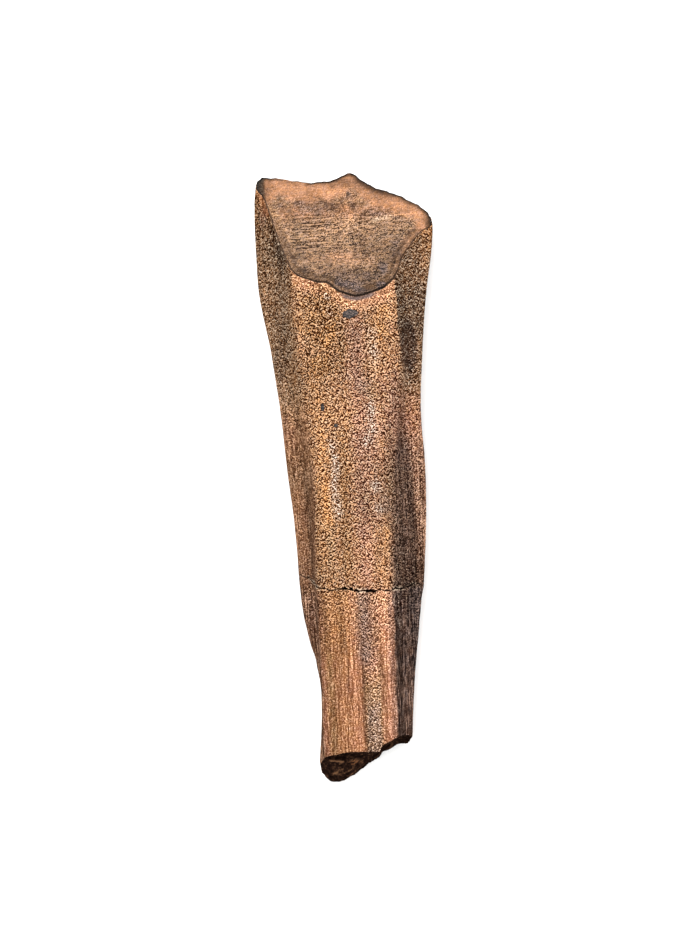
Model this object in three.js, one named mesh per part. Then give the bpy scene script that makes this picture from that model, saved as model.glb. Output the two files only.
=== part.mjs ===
// A rooted tooth of a duck-billed dinosaur, fossilised and worn, as one solid in millimetres.
//
// It lies as it would on a table: the grinding end points along +Y, the root along -Y, and +Z is up.
// The enamelled face with its keel is underneath, and the broad front of the root is on top.
// The wear facet slopes across the grinding end, the root's end is a break, and a mended crack
// runs round the tooth a third of the way up.
//
// The skin is a tube of cross-sections. Each section is a closed spline through sixteen named
// points, and every point slides along the tooth on a smooth curve. The tube ends above where it
// meets the wear facet and below where it meets the break, and rings close both ends.

import * as THREE from "three";

// ---- Driving dimensions ----

const SLANT = 0.046; // how far both ends and the crack run down along -Y for each millimetre to the right
const KEEL_TIP = 20.18; // Y where the keel meets the wear facet, the furthest point of the crown
const FACET_RAKE = 1.06; // how far the facet drops along Y for each millimetre of height
const FACET_DISH = 0.8; // depth of the hollow worn in the facet
const KEEL_HEIGHT = 0.55; // how far the keel stands out of the enamelled face
const KEEL_WIDTH = 0.8; // half the keel's width, near its foot
const KEEL_END = -9; // Y where the keel and the enamelled face run out on the root
const REST_CUT = 0.12; // how much is worn flat where the tooth touches the table
const CRACK_Y = -7.45; // Y of the mended crack on the front of the tooth
const CRACK_WIDTH = 0.16;
const CRACK_DEPTH = 0.14;
const GAP_DEPTH = 0.7; // depth of the two open stretches of the crack
const BREAK_Y = -18; // Y of the break's upper edge
const BREAK_SLOPE = 0.53; // how far the break's left side runs on along -Y for each millimetre down

// ---- Resolution of the faceted solid ----

const STEPS_PER_POINT = 5; // columns between two neighbouring points of a section
const ROOT_ROWS = 14; // rows between the break and the crack
const CROWN_ROWS = 28; // rows between the crack and the wear facet
const FACET_RINGS = 8;
const BREAK_RINGS = 8;

// ---- Small helpers ----

const mix = (a, b, t) => a + (b - a) * t;
const bump = (x, centre, width) => Math.exp(-(((x - centre) / width) ** 2));
const ramp = (x, from, to) => THREE.MathUtils.smoothstep((x - from) / (to - from), 0, 1);

// A smooth curve through [y, value] pairs in rising y, held level beyond both ends.
function along(pairs) {
  const slope = pairs.map((_, i) => {
    if (i === 0 || i === pairs.length - 1) return 0;
    const [before, after] = [pairs[i - 1], pairs[i + 1]];
    return (after[1] - before[1]) / (after[0] - before[0]);
  });
  return (y) => {
    if (y <= pairs[0][0]) return pairs[0][1];
    if (y >= pairs.at(-1)[0]) return pairs.at(-1)[1];
    const i = pairs.findIndex((p) => p[0] > y) - 1;
    const span = pairs[i + 1][0] - pairs[i][0];
    const t = (y - pairs[i][0]) / span;
    return hermite(pairs[i][1], pairs[i + 1][1], slope[i] * span, slope[i + 1] * span, t);
  };
}

function hermite(a, b, slopeA, slopeB, t) {
  const s = 1 - t;
  return a * s * s * (1 + 2 * t) + b * t * t * (3 - 2 * t) + slopeA * t * s * s - slopeB * t * t * s;
}

// ---- The lines that run along the tooth ----

const frontHeight = along([[-20, 5.1], [-12, 5.9], [-4, 6.8], [4, 7.5], [11, 7.9], [20, 8.0]]);
const arch = along([[-20, 0.25], [-17, 0], [-9, 0.5], [0, 0.8], [8, 0.45], [14, 0], [20, 0]]);

const leftEdge = {
  x: along([
    [-20, -3.2], [-17, -2.97], [-14, -2.75], [-12.7, -2.85], [-11, -3.35], [-9, -3.75], [-7, -3.95],
    [-4.5, -4.0], [0, -4.33], [4, -4.65], [8, -5.1], [12, -5.65], [15, -5.78], [18, -5.74], [20, -5.6],
  ]),
  z: along([[-20, 2.7], [-13, 2.5], [-9, 1.9], [0, 1.6], [10, 1.2], [15, 0.8], [20, 0.5]]),
};
const leftRim = {
  x: along([
    [-20, -3.0], [-14, -2.85], [-12, -3.1], [-6, -3.6], [0, -4.0],
    [6, -4.6], [12, -5.1], [16, -5.15], [20, -4.95],
  ]),
  z: along([[-20, 3.3], [-12, 3.05], [-6, 3.05], [0, 3.1], [6, 2.7], [12, 2.2], [20, 1.9]]),
};
const leftValley = {
  x: along([
    [-20, -2.95], [-14, -2.82], [-7, -2.98], [-3, -3.1], [1, -3.4], [6, -4.0], [12, -4.35], [20, -4.4],
  ]),
  z: along([[-20, 3.9], [-10, 3.6], [-3, 3.7], [4, 4.0], [12, 4.0], [20, 3.8]]),
};
const leftShoulder = along([
  [-20, -2.75], [-12, -2.7], [-7, -2.72], [-3, -2.6], [0, -2.55],
  [3, -2.8], [8, -3.25], [12, -3.45], [20, -3.5],
]);
const leftMargin = along([[-20, 0.6], [-12, 0.8], [-4, 0.9], [4, 0.75], [9, 0.3], [13, 0.02], [20, 0.05]]);

const rightEdge = {
  x: along([
    [-20, 2.95], [-17, 3.08], [-14, 3.3], [-11, 3.65], [-8.3, 4.0], [-7.3, 4.22], [-3, 4.56], [0, 4.66],
    [3.5, 4.56], [8, 4.82], [12, 5.25], [15, 5.75], [17, 5.9], [20, 5.8],
  ]),
  z: along([[-20, 2.3], [-12, 2.6], [-4, 3.1], [4, 3.4], [12, 3.3], [20, 3.2]]),
};
const rightRim = {
  x: along([
    [-20, 2.85], [-12, 3.15], [-7, 3.85], [-3, 4.15], [1, 4.15],
    [5, 4.3], [9, 4.5], [13, 4.8], [20, 4.95],
  ]),
  z: along([[-20, 3.0], [-12, 3.35], [-3, 3.85], [2, 4.1], [6, 4.3], [12, 4.2], [20, 4.1]]),
};
const rightValley = {
  x: along([
    [-20, 2.6], [-12, 2.85], [-7, 3.5], [-3, 3.6], [0, 3.4], [3, 3.2], [5, 3.6], [8, 3.8], [20, 3.85],
  ]),
  z: along([[-20, 3.6], [-12, 3.9], [-3, 4.2], [2, 4.6], [6, 5.1], [12, 5.4], [20, 5.5]]),
};
const rightShoulder = along([
  [-20, 2.0], [-12, 2.15], [-7, 2.2], [-3, 2.4], [0, 2.6],
  [3, 2.85], [6, 3.25], [9, 3.3], [13, 3.2], [20, 3.2],
]);
const rightMargin = along([[-20, 0.5], [-12, 0.9], [-4, 1.6], [4, 2.0], [12, 2.3], [20, 2.4]]);

const shoulderDrop = along([[-20, 0.75], [-8, 0.8], [4, 0.95], [12, 1.0], [20, 1.0]]);
const keelX = along([[-20, 0.3], [-8, 0.5], [20, 0.66]]);
const backFlat = along([[-20, 0.02], [-12, 0.1], [-6, 0.4], [0, 0.5], [20, 0.5]]); // beside the keel

// The sixteen points of the section at y as [x, z, tension]: tension 1 is a corner, 0 a smooth bend.
function sectionPoints(y) {
  const top = frontHeight(y);
  const drop = shoulderDrop(y);
  const lift = arch(y);
  const back = backFlat(y) + lift;
  const [le, lr, lv] = [leftEdge, leftRim, leftValley].map((p) => [p.x(y), p.z(y)]);
  const [re, rr, rv] = [rightEdge, rightRim, rightValley].map((p) => [p.x(y), p.z(y)]);
  const [ls, rs] = [leftShoulder(y), rightShoulder(y)];
  const [lm, rm] = [leftMargin(y) + lift, rightMargin(y) + lift];
  const keel = keelX(y);
  return [
    [0.15, top, 0],
    [rs * 0.55, top - drop * 0.22, 0],
    [rs, top - drop, 0.25],
    [rv[0], rv[1], 0.1],
    [rr[0], rr[1], 0],
    [re[0], re[1], 0],
    [re[0] - 0.3, rm, 0.3],
    [mix(re[0], keel, 0.5), mix(rm, back, 0.5) - 0.25, 0],
    [keel, back, 0],
    [mix(le[0], keel, 0.55), mix(lm, back, 0.55) + 0.2, 0],
    [le[0] + 0.3, lm, 0.3],
    [le[0], le[1], 0],
    [lr[0], lr[1], 0],
    [lv[0], lv[1], 0.1],
    [ls, top - drop, 0.25],
    [ls * 0.55, top - drop * 0.22, 0],
  ];
}

// The point of the plain section at y and at u, where u counts the section's points round the tooth.
function sectionAt(points, u) {
  const n = points.length;
  const i = Math.floor(u) % n;
  const [before, a, b, after] = [-1, 0, 1, 2].map((k) => points[(i + k + n) % n]);
  const t = u - Math.floor(u);
  const pull = (k) => hermite(
    a[k], b[k], ((1 - a[2]) * (b[k] - before[k])) / 2, ((1 - b[2]) * (after[k] - a[k])) / 2, t,
  );
  return [pull(0), pull(1)];
}

const KEEL_POINT = 8; // the section point under the keel
const POINTS = 16;

// Ridges and gutters that run along the front, as heights above the plain section.
function frontRelief(x, y) {
  const swells = 0.09 * bump(x, -1.25, 0.7) + 0.09 * bump(x, 1.15, 0.6);
  const gutter = ramp(x, -0.1, 0.05) * (1 - ramp(x, 0.85, 1.2)) * (1 - ramp(y, -13.5, -8.5));
  const strip = bump(x, -2.1, 0.25) * (1 - ramp(y, -13, -10));
  return swells * ramp(y, -16, -4) * (1 - ramp(y, 8, 11)) - 0.16 * gutter - 0.07 * strip;
}

// A slow unevenness, so that no stretch of the skin is perfectly straight.
function unevenness(u, y) {
  const turn = (2 * Math.PI * u) / POINTS;
  const long = Math.sin(2 * turn + 0.35 * y) + Math.sin(0.55 * y - 3 * turn + 1);
  return 0.018 * long + 0.012 * Math.sin(5 * turn - 1.1 * y);
}

// Y of the mended crack round the tooth: higher on the sides and the back than on the front.
function crackY(u) {
  const turn = (2 * Math.PI * u) / POINTS;
  const jag = 0.08 * Math.sin(6 * turn + 0.5) + 0.05 * Math.sin(17 * turn) + 0.03 * Math.sin(31 * turn + 1);
  const slant = SLANT * sectionAt(sectionPoints(CRACK_Y), u)[0];
  return CRACK_Y - slant + 0.4 * (1 - Math.cos(turn)) + 0.5 * bump(u, 12.2, 1.2) + jag;
}

// How deep the crack is cut at u, with two stretches that stand open.
function crackDepth(u) {
  const open = bump(u, 0.35, 0.3) + bump(u, POINTS - 0.55, 0.42);
  return CRACK_DEPTH + GAP_DEPTH * Math.min(1, open);
}

// The finished skin at u and y, before the crack is cut.
function skin(u, y) {
  const points = sectionPoints(y);
  const [x, z] = sectionAt(points, u);
  const step = 0.02;
  const ahead = sectionAt(points, (u + step) % POINTS);
  const behind = sectionAt(points, (u - step + POINTS) % POINTS);
  const outward = new THREE.Vector2(-(ahead[1] - behind[1]), ahead[0] - behind[0]).normalize();
  const facingUp = Math.max(0, outward.y);
  const relief = unevenness(u, y) + frontRelief(x, y) * facingUp;
  const backward = Math.max(0, -outward.y);
  const keel = KEEL_HEIGHT * bump(x, keelX(y), KEEL_WIDTH) * ramp(y, KEEL_END - 2, KEEL_END + 6) * backward;
  return new THREE.Vector3(x + outward.x * relief, y, z + outward.y * relief - keel);
}

// ---- The two end surfaces, each as a Y over the cross-section ----

function wearFacet(x, z) {
  const dish = FACET_DISH * bump(x, 0.2, 3.2) * bump(z, 3.9, 2.4);
  const lobe = 0.22 * bump(x, 0.8, 1.3) + 0.12 * bump(x, 2.4, 0.45) - 0.26 * bump(x, -1.2, 0.45);
  const corners = 0.4 * ramp(-x, 5.15, 5.8) + 0.25 * ramp(x, 5.0, 5.9);
  const leftRise = 0.65 * ramp(-x, -0.6, 2.6) * ramp(z, 4, 7.2);
  const trim = lobe * ramp(z, 5, 7.4) + corners;
  return KEEL_TIP - SLANT * Math.max(0, x) - FACET_RAKE * z - dish - trim + leftRise;
}

function breakFace(x, z) {
  const height = z - 5.1;
  const slope = mix(BREAK_SLOPE, 0.13, ramp(x, -2, 1.1)) + 0.04 * ramp(x, 0.9, 1.5) + 0.11 * ramp(x, 2, 3);
  const rightRise = 0.45 * ramp(x, 0.7, 1.15) + 0.6 * Math.max(0, x - 1.1);
  const leftRise = 0.35 * ramp(-x, 2.4, 3) * (1 - ramp(z, 3, 4));
  const ledges = ramp(z + 0.5 * x, 1.4, 1.8) - ramp(z - 0.2 * x, 3.4, 3.8);
  const rise = rightRise + leftRise + 0.3 * ledges * (1 - ramp(x, 1.5, 2.5));
  return BREAK_Y - SLANT * x + slope * height + rise;
}

// Y where the skin at u meets an end surface, found by halving.
function meet(u, surface, low, high) {
  for (let i = 0; i < 40; i++) {
    const y = (low + high) / 2;
    const p = skin(u, y);
    if (y > surface(p.x, p.z)) high = y;
    else low = y;
  }
  return (low + high) / 2;
}

// ---- The closed surface ----

// One column of the skin from the break to the wear facet, in rows that follow the crack.
function column(u) {
  const bottom = meet(u, breakFace, -24, -12);
  const top = meet(u, wearFacet, 6, 24);
  const crack = crackY(u);
  const half = CRACK_WIDTH / 2;
  const rows = [];
  for (let i = 0; i <= ROOT_ROWS; i++) rows.push(skin(u, mix(bottom, crack - half, i / ROOT_ROWS)));
  const floor = skin(u, crack);
  const inward = new THREE.Vector3(0.1, crack, 3.8).sub(floor).setY(0).normalize();
  rows.push(floor.addScaledVector(inward, crackDepth(u)));
  for (let i = 0; i <= CROWN_ROWS; i++) rows.push(skin(u, mix(crack + half, top, i / CROWN_ROWS)));
  return rows;
}

// Rings that close an end: the rim drawn in towards its middle, each point laid on the end surface.
function endRings(rim, surface, rings, middle) {
  const made = [];
  for (let k = 1; k <= rings; k++) {
    const keep = 1 - k / rings;
    made.push(rim.map((p) => {
      const x = mix(middle.x, p.x, keep);
      const z = mix(middle.y, p.z, keep);
      return new THREE.Vector3(x, surface(x, z), z);
    }));
  }
  return made;
}

function toothGeometry() {
  const count = POINTS * STEPS_PER_POINT;
  const columns = Array.from({ length: count }, (_, j) => column(j / STEPS_PER_POINT));
  const rings = columns[0].map((_, row) => columns.map((c) => c[row]));
  const breakMiddle = new THREE.Vector2(-0.1, 2.8);
  const facetMiddle = new THREE.Vector2(0.2, 3.9);
  const lower = endRings(rings[0], breakFace, BREAK_RINGS, breakMiddle).reverse();
  const upper = endRings(rings.at(-1), wearFacet, FACET_RINGS, facetMiddle);
  const all = [...lower, ...rings, ...upper];

  const last = all.length - 1;
  const points = [all[0][0], ...all.slice(1, last).flat(), all[last][0]];
  const positions = points.flatMap((p) => [p.x, p.y, Math.max(0, p.z - REST_CUT)]);

  const faces = [];
  const at = (ring, j) => 1 + (ring - 1) * count + (j % count);
  const end = positions.length / 3 - 1;
  for (let j = 0; j < count; j++) {
    faces.push(0, at(1, j + 1), at(1, j));
    for (let ring = 1; ring < last - 1; ring++) {
      faces.push(at(ring, j), at(ring + 1, j + 1), at(ring + 1, j));
      faces.push(at(ring, j), at(ring, j + 1), at(ring + 1, j + 1));
    }
    faces.push(end, at(last - 1, j), at(last - 1, j + 1));
  }
  const geometry = new THREE.BufferGeometry();
  geometry.setAttribute("position", new THREE.Float32BufferAttribute(positions, 3));
  geometry.setIndex(faces);
  return centred(geometry);
}

// Moves the geometry so that the middle of its footprint is the origin and its lowest point is at 0.
function centred(geometry) {
  geometry.computeBoundingBox();
  const { min, max } = geometry.boundingBox;
  geometry.translate(-(min.x + max.x) / 2, -(min.y + max.y) / 2, -min.z);
  geometry.computeVertexNormals();
  return geometry;
}

// ---- The tooth ----

const fossil = new THREE.MeshStandardMaterial({ color: 0x9a6b45, roughness: 0.5, metalness: 0 });
const tooth = new THREE.Mesh(toothGeometry(), fossil);
tooth.name = "tooth";

const group = new THREE.Group();
group.add(tooth);

export default group;
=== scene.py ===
"""A fossil tooth of a duck-billed dinosaur, with its worn facet, its mended crack and its broken root.

The tooth lies with its grinding end along +Y, its root along -Y and its broad front up. Its skin is a
tube of cross-sections, closed by the wear facet above and the break below. The shape, and where each
finish lies on it, are worked out in millimetres. Geometry Nodes raise the small relief, and the
materials read the same marks.
"""

import math

import bpy
import numpy as np
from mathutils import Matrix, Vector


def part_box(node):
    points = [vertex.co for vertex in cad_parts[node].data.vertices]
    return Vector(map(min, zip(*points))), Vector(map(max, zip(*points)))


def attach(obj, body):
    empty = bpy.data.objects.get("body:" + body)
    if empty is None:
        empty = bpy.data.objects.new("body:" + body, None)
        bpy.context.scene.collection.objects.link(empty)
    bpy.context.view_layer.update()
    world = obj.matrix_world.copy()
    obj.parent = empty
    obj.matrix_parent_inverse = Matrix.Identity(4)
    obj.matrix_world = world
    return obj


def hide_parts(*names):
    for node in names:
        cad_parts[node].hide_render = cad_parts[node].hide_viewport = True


bl_info = {
    "name": "Fossil hadrosaur tooth",
    "version": (1, 0, 0),
    "blender": (4, 5, 0),
    "location": "3D View > Sidebar > Fossil",
    "description": "Makes a worn, mended tooth of a duck-billed dinosaur",
    "category": "Object",
}

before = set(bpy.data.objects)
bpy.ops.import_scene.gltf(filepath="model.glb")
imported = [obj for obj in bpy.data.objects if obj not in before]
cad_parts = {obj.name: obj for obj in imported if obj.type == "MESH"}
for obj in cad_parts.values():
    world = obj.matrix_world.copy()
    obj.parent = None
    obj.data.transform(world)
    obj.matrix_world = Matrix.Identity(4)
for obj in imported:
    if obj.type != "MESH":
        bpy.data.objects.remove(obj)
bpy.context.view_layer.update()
TOOTH_LOW, TOOTH_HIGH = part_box("tooth")
MM = 0.001

# ---- Form of the tooth, in millimetres ----

SLANT = 0.046  # how far both ends and the crack run down along -Y for each millimetre to the right
KEEL_TIP = 20.18  # Y where the keel meets the wear facet, the furthest point of the crown
FACET_RAKE = 1.06  # how far the facet drops along Y for each millimetre of height
FACET_DISH = 0.8  # depth of the hollow worn in the facet
KEEL_HEIGHT = 0.55
KEEL_WIDTH = 0.8
KEEL_END = -9.0  # Y where the keel and the enamelled face run out on the root
REST_CUT = 0.12  # how much is worn flat where the tooth touches the table
CRACK_Y = -7.45
CRACK_DEPTH = 0.14
BREAK_Y = -18.0
BREAK_SLOPE = 0.53  # how far the break's left side runs on along -Y for each millimetre down

BREAK_REACH = (-24.0, -12.0)  # from Y to Y, where the skin meets the break
FACET_REACH = (6.0, 24.0)
BREAK_MIDDLE = (-0.1, 2.8)  # X and Z of the middle of the break
FACET_MIDDLE = (0.2, 3.9)
CORE = (0.1, 3.8)  # X and Z that the crack leads to
GAP_LEVEL = 4.0  # height above which the crack has its gaps
ROUNDING = 0.3  # how far a worn rim is pulled in, as a share of the width of its wear

POINTS = 16  # named points round a section
SHOULDER = 2.0  # point number of the shoulders, counted from the middle of the front
EDGE = 5.0  # point number of the widest edges

# ---- Density of the mesh ----

STEPS = (18, 18, 18, 14, 12, 9, 10, 14, 14, 10, 9, 12, 14, 18, 18, 18)  # columns between the points
ROOT_ROWS = 100
CROWN_ROWS = 225
RIM_STEPS = (0.34, 0.24, 0.17, 0.115, 0.07, 0.035, 0.012, 0.0)  # rows beside a rim, in mm from it
CRACK_ROWS = ((-1.5, 0.0), (-1.0, 0.12), (-0.7, 0.85), (0.0, 1.0), (0.7, 0.85), (1.0, 0.12), (1.5, 0.0))
FACET_RINGS = 52
BREAK_RINGS = 26
HALVINGS = 40  # steps in which the skin's rims are found


def mix(a, b, t):
    return a + (b - a) * t


def bump(x, centre, width):
    """A smooth hump: 1 at its centre, fading over the width."""
    return np.exp(-(((x - centre) / width) ** 2))


def ramp(x, start, end):
    """A smooth step from 0 at start to 1 at end."""
    t = np.clip((x - start) / (end - start), 0.0, 1.0)
    return t * t * (3 - 2 * t)


def window(x, start, end, soft):
    """1 from start to end, with soft sides."""
    return ramp(x, start - soft, start + soft) * (1 - ramp(x, end - soft, end + soft))


def hermite(a, b, slope_a, slope_b, t):
    """From a to b as t goes from 0 to 1, with the slopes given at both."""
    s = 1 - t
    return a * s * s * (1 + 2 * t) + b * t * t * (3 - 2 * t) + slope_a * t * s * s - slope_b * t * t * s


def along(*pairs):
    """A smooth curve through (y, value) pairs in rising y, held level beyond both ends."""
    ys, values = np.array(pairs, float).T
    slopes = np.zeros(len(ys))
    slopes[1:-1] = (values[2:] - values[:-2]) / (ys[2:] - ys[:-2])

    def curve(y):
        y = np.clip(y, ys[0], ys[-1])
        i = np.clip(np.searchsorted(ys, y, side="right") - 1, 0, len(ys) - 2)
        span = ys[i + 1] - ys[i]
        return hermite(values[i], values[i + 1], slopes[i] * span, slopes[i + 1] * span, (y - ys[i]) / span)

    return curve


front_height = along((-20, 5.1), (-12, 5.9), (-4, 6.8), (4, 7.5), (11, 7.9), (20, 8.0))
arch = along((-20, 0.25), (-17, 0), (-9, 0.5), (0, 0.8), (8, 0.45), (14, 0), (20, 0))
left_edge = (
    along((-20, -3.2), (-17, -2.97), (-14, -2.75), (-12.7, -2.85), (-11, -3.35), (-9, -3.75), (-7, -3.95),
          (-4.5, -4.0), (0, -4.33), (4, -4.65), (8, -5.1), (12, -5.65), (15, -5.78), (18, -5.74), (20, -5.6)),
    along((-20, 2.7), (-13, 2.5), (-9, 1.9), (0, 1.6), (10, 1.2), (15, 0.8), (20, 0.5)),
)
left_rim = (
    along((-20, -3.0), (-14, -2.85), (-12, -3.1), (-6, -3.6), (0, -4.0), (6, -4.6), (12, -5.1), (16, -5.15),
          (20, -4.95)),
    along((-20, 3.3), (-12, 3.05), (-6, 3.05), (0, 3.1), (6, 2.7), (12, 2.2), (20, 1.9)),
)
left_valley = (
    along((-20, -2.95), (-14, -2.82), (-7, -2.98), (-3, -3.1), (1, -3.4), (6, -4.0), (12, -4.35), (20, -4.4)),
    along((-20, 3.9), (-10, 3.6), (-3, 3.7), (4, 4.0), (12, 4.0), (20, 3.8)),
)
left_shoulder = along((-20, -2.75), (-12, -2.7), (-7, -2.72), (-3, -2.6), (0, -2.55), (3, -2.8), (8, -3.25),
                      (12, -3.45), (20, -3.5))
left_margin = along((-20, 0.6), (-12, 0.8), (-4, 0.9), (4, 0.75), (9, 0.3), (13, 0.02), (20, 0.05))
right_edge = (
    along((-20, 2.95), (-17, 3.08), (-14, 3.3), (-11, 3.65), (-8.3, 4.0), (-7.3, 4.22), (-3, 4.56), (0, 4.66),
          (3.5, 4.56), (8, 4.82), (12, 5.25), (15, 5.75), (17, 5.9), (20, 5.8)),
    along((-20, 2.3), (-12, 2.6), (-4, 3.1), (4, 3.4), (12, 3.3), (20, 3.2)),
)
right_rim = (
    along((-20, 2.85), (-12, 3.15), (-7, 3.85), (-3, 4.15), (1, 4.15), (5, 4.3), (9, 4.5), (13, 4.8),
          (20, 4.95)),
    along((-20, 3.0), (-12, 3.35), (-3, 3.85), (2, 4.1), (6, 4.3), (12, 4.2), (20, 4.1)),
)
right_valley = (
    along((-20, 2.6), (-12, 2.85), (-7, 3.5), (-3, 3.6), (0, 3.4), (3, 3.2), (5, 3.6), (8, 3.8), (20, 3.85)),
    along((-20, 3.6), (-12, 3.9), (-3, 4.2), (2, 4.6), (6, 5.1), (12, 5.4), (20, 5.5)),
)
right_shoulder = along((-20, 2.0), (-12, 2.15), (-7, 2.2), (-3, 2.4), (0, 2.6), (3, 2.85), (6, 3.25),
                       (9, 3.3), (13, 3.2), (20, 3.2))
right_margin = along((-20, 0.5), (-12, 0.9), (-4, 1.6), (4, 2.0), (12, 2.3), (20, 2.4))
shoulder_drop = along((-20, 0.75), (-8, 0.8), (4, 0.95), (12, 1.0), (20, 1.0))
keel_x = along((-20, 0.3), (-8, 0.5), (20, 0.66))
back_flat = along((-20, 0.02), (-12, 0.1), (-6, 0.4), (0, 0.5), (20, 0.5))


def section_points(y):
    """The sixteen points of the section at y: x, z and tension, where 1 is a corner and 0 a smooth bend."""
    top, drop, lift, keel = front_height(y), shoulder_drop(y), arch(y), keel_x(y)
    back = back_flat(y) + lift
    le, lr, lv, re, rr, rv = (
        (x(y), z(y)) for x, z in (left_edge, left_rim, left_valley, right_edge, right_rim, right_valley)
    )
    ls, rs = left_shoulder(y), right_shoulder(y)
    lm, rm = left_margin(y) + lift, right_margin(y) + lift
    points = [
        (0.15, top, 0),
        (rs * 0.55, top - drop * 0.22, 0),
        (rs, top - drop, 0.25),
        (*rv, 0.1),
        (*rr, 0),
        (*re, 0),
        (re[0] - 0.3, rm, 0.3),
        (mix(re[0], keel, 0.5), mix(rm, back, 0.5) - 0.25, 0),
        (keel, back, 0),
        (mix(le[0], keel, 0.55), mix(lm, back, 0.55) + 0.2, 0),
        (le[0] + 0.3, lm, 0.3),
        (*le, 0),
        (*lr, 0),
        (*lv, 0.1),
        (ls, top - drop, 0.25),
        (ls * 0.55, top - drop * 0.22, 0),
    ]
    return np.array([[np.broadcast_to(value, y.shape) for value in point] for point in points], float)


def section_at(points, u):
    """The plain section at u, one number for each column of the grid."""
    first = np.floor(u).astype(int)
    columns = np.arange(len(u))
    before, a, b, after = (
        points[(first + k) % POINTS, :, :, columns].transpose(1, 2, 0) for k in (-1, 0, 1, 2)
    )
    t = u - first
    slopes = (1 - a[2]) * (b - before) / 2, (1 - b[2]) * (after - a) / 2
    return hermite(a, b, *slopes, t)[:2]


def front_relief(x, y):
    """Ridges and gutters that run along the front, as heights above the plain section."""
    swells = 0.09 * bump(x, -1.25, 0.7) + 0.09 * bump(x, 1.15, 0.6)
    gutter = ramp(x, -0.1, 0.05) * (1 - ramp(x, 0.85, 1.2)) * (1 - ramp(y, -13.5, -8.5))
    strip = bump(x, -2.1, 0.25) * (1 - ramp(y, -13, -10))
    return swells * ramp(y, -16, -4) * (1 - ramp(y, 8, 11)) - 0.16 * gutter - 0.07 * strip


def unevenness(u, y):
    """Slow swells of the whole skin."""
    turn = 2 * math.pi * u / POINTS
    slow = np.sin(2 * turn + 0.35 * y) + np.sin(0.55 * y - 3 * turn + 1)
    return 0.018 * slow + 0.012 * np.sin(5 * turn - 1.1 * y)


def crack_line(u):
    """Y of the mended crack: higher on the sides and the back than on the front."""
    turn = 2 * math.pi * u / POINTS
    jag = 0.08 * np.sin(6 * turn + 0.5) + 0.05 * np.sin(17 * turn) + 0.03 * np.sin(31 * turn + 1)
    jag *= 1 - 0.6 * bump(np.sin(turn / 2), 0, 0.3)
    level = np.full((1, len(u)), CRACK_Y)
    slant = SLANT * section_at(section_points(level), u)[0][0]
    lift = 0.5 * bump(u, 12.2, 1.2) + 0.14 * bump(u, POINTS - 0.8, 0.5)
    return CRACK_Y - slant + 0.4 * (1 - np.cos(turn)) + lift + jag


def crack_opening(x):
    """How far the crack stands open on the front: 0 where it is mended, 1 in its gaps."""
    dashes = window(x, -1.18, -0.86, 0.05) + window(x, -0.66, -0.42, 0.05) + window(x, -0.3, -0.12, 0.05)
    return dashes + window(x, 0.36, 1.04, 0.07)


def skin(u, y):
    """The skin at u and y: its points as an array of x, y and z, and which way it faces in its section."""
    points = section_points(y)
    x, z = section_at(points, u)
    step = 0.02
    ahead = section_at(points, (u + step) % POINTS)
    behind = section_at(points, (u - step) % POINTS)
    outward = np.array([-(ahead[1] - behind[1]), ahead[0] - behind[0]])
    outward /= np.hypot(*outward)
    relief = unevenness(u, y) + front_relief(x, y) * np.maximum(0, outward[1])
    keel = KEEL_HEIGHT * bump(x, keel_x(y), KEEL_WIDTH) * ramp(y, KEEL_END - 2, KEEL_END + 6)
    z = z + outward[1] * relief - keel * np.maximum(0, -outward[1])
    return np.array([x + outward[0] * relief, y, z]), outward


def wear_facet(x, z):
    """Y of the wear facet: a raked plane with a hollow, and a rim that is trimmed at the front."""
    dish = FACET_DISH * bump(x, 0.2, 3.2) * bump(z, 3.9, 2.4)
    lobe = 0.22 * bump(x, 0.8, 1.3) + 0.12 * bump(x, 2.4, 0.45) - 0.26 * bump(x, -1.2, 0.45)
    corners = 0.4 * ramp(-x, 5.15, 5.8) + 0.25 * ramp(x, 5.0, 5.9)
    left_rise = 0.65 * ramp(-x, -0.6, 2.6) * ramp(z, 4, 7.2)
    trim = lobe * ramp(z, 5, 7.4) + corners
    return KEEL_TIP - SLANT * np.maximum(0, x) - FACET_RAKE * z - dish - trim + left_rise


def break_face(x, z):
    """Y of the break: a slope with ledges that runs up on the right."""
    slope = mix(BREAK_SLOPE, 0.13, ramp(x, -2, 1.1)) + 0.04 * ramp(x, 0.9, 1.5) + 0.11 * ramp(x, 2.0, 3.0)
    right_rise = 0.45 * ramp(x, 0.7, 1.15) + 0.6 * np.maximum(0, x - 1.1)
    left_rise = 0.35 * ramp(-x, 2.4, 3) * (1 - ramp(z, 3, 4))
    ledges = ramp(z + 0.5 * x, 1.4, 1.8) - ramp(z - 0.2 * x, 3.4, 3.8)
    rise = right_rise + left_rise + 0.3 * ledges * (1 - ramp(x, 1.5, 2.5))
    return BREAK_Y - SLANT * x + slope * (z - 5.1) + rise


def facing(surface, x, z, side):
    """The outward normal of an end surface, which faces along side * Y."""
    step = 0.01
    slope_x = (surface(x + step, z) - surface(x - step, z)) / (2 * step)
    slope_z = (surface(x, z + step) - surface(x, z - step)) / (2 * step)
    normal = side * np.array([-slope_x, np.ones_like(x), -slope_z])
    return normal / np.sqrt((normal**2).sum(0))


def meet(u, surface, low, high):
    """Y where each column of the skin meets an end surface, found by halving."""
    low, high = np.full((1, len(u)), low), np.full((1, len(u)), high)
    for _ in range(HALVINGS):
        y = (low + high) / 2
        x, _, z = skin(u, y)[0]
        beyond = y > surface(x, z)
        low, high = np.where(beyond, low, y), np.where(beyond, y, high)
    return ((low + high) / 2)[0]


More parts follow.
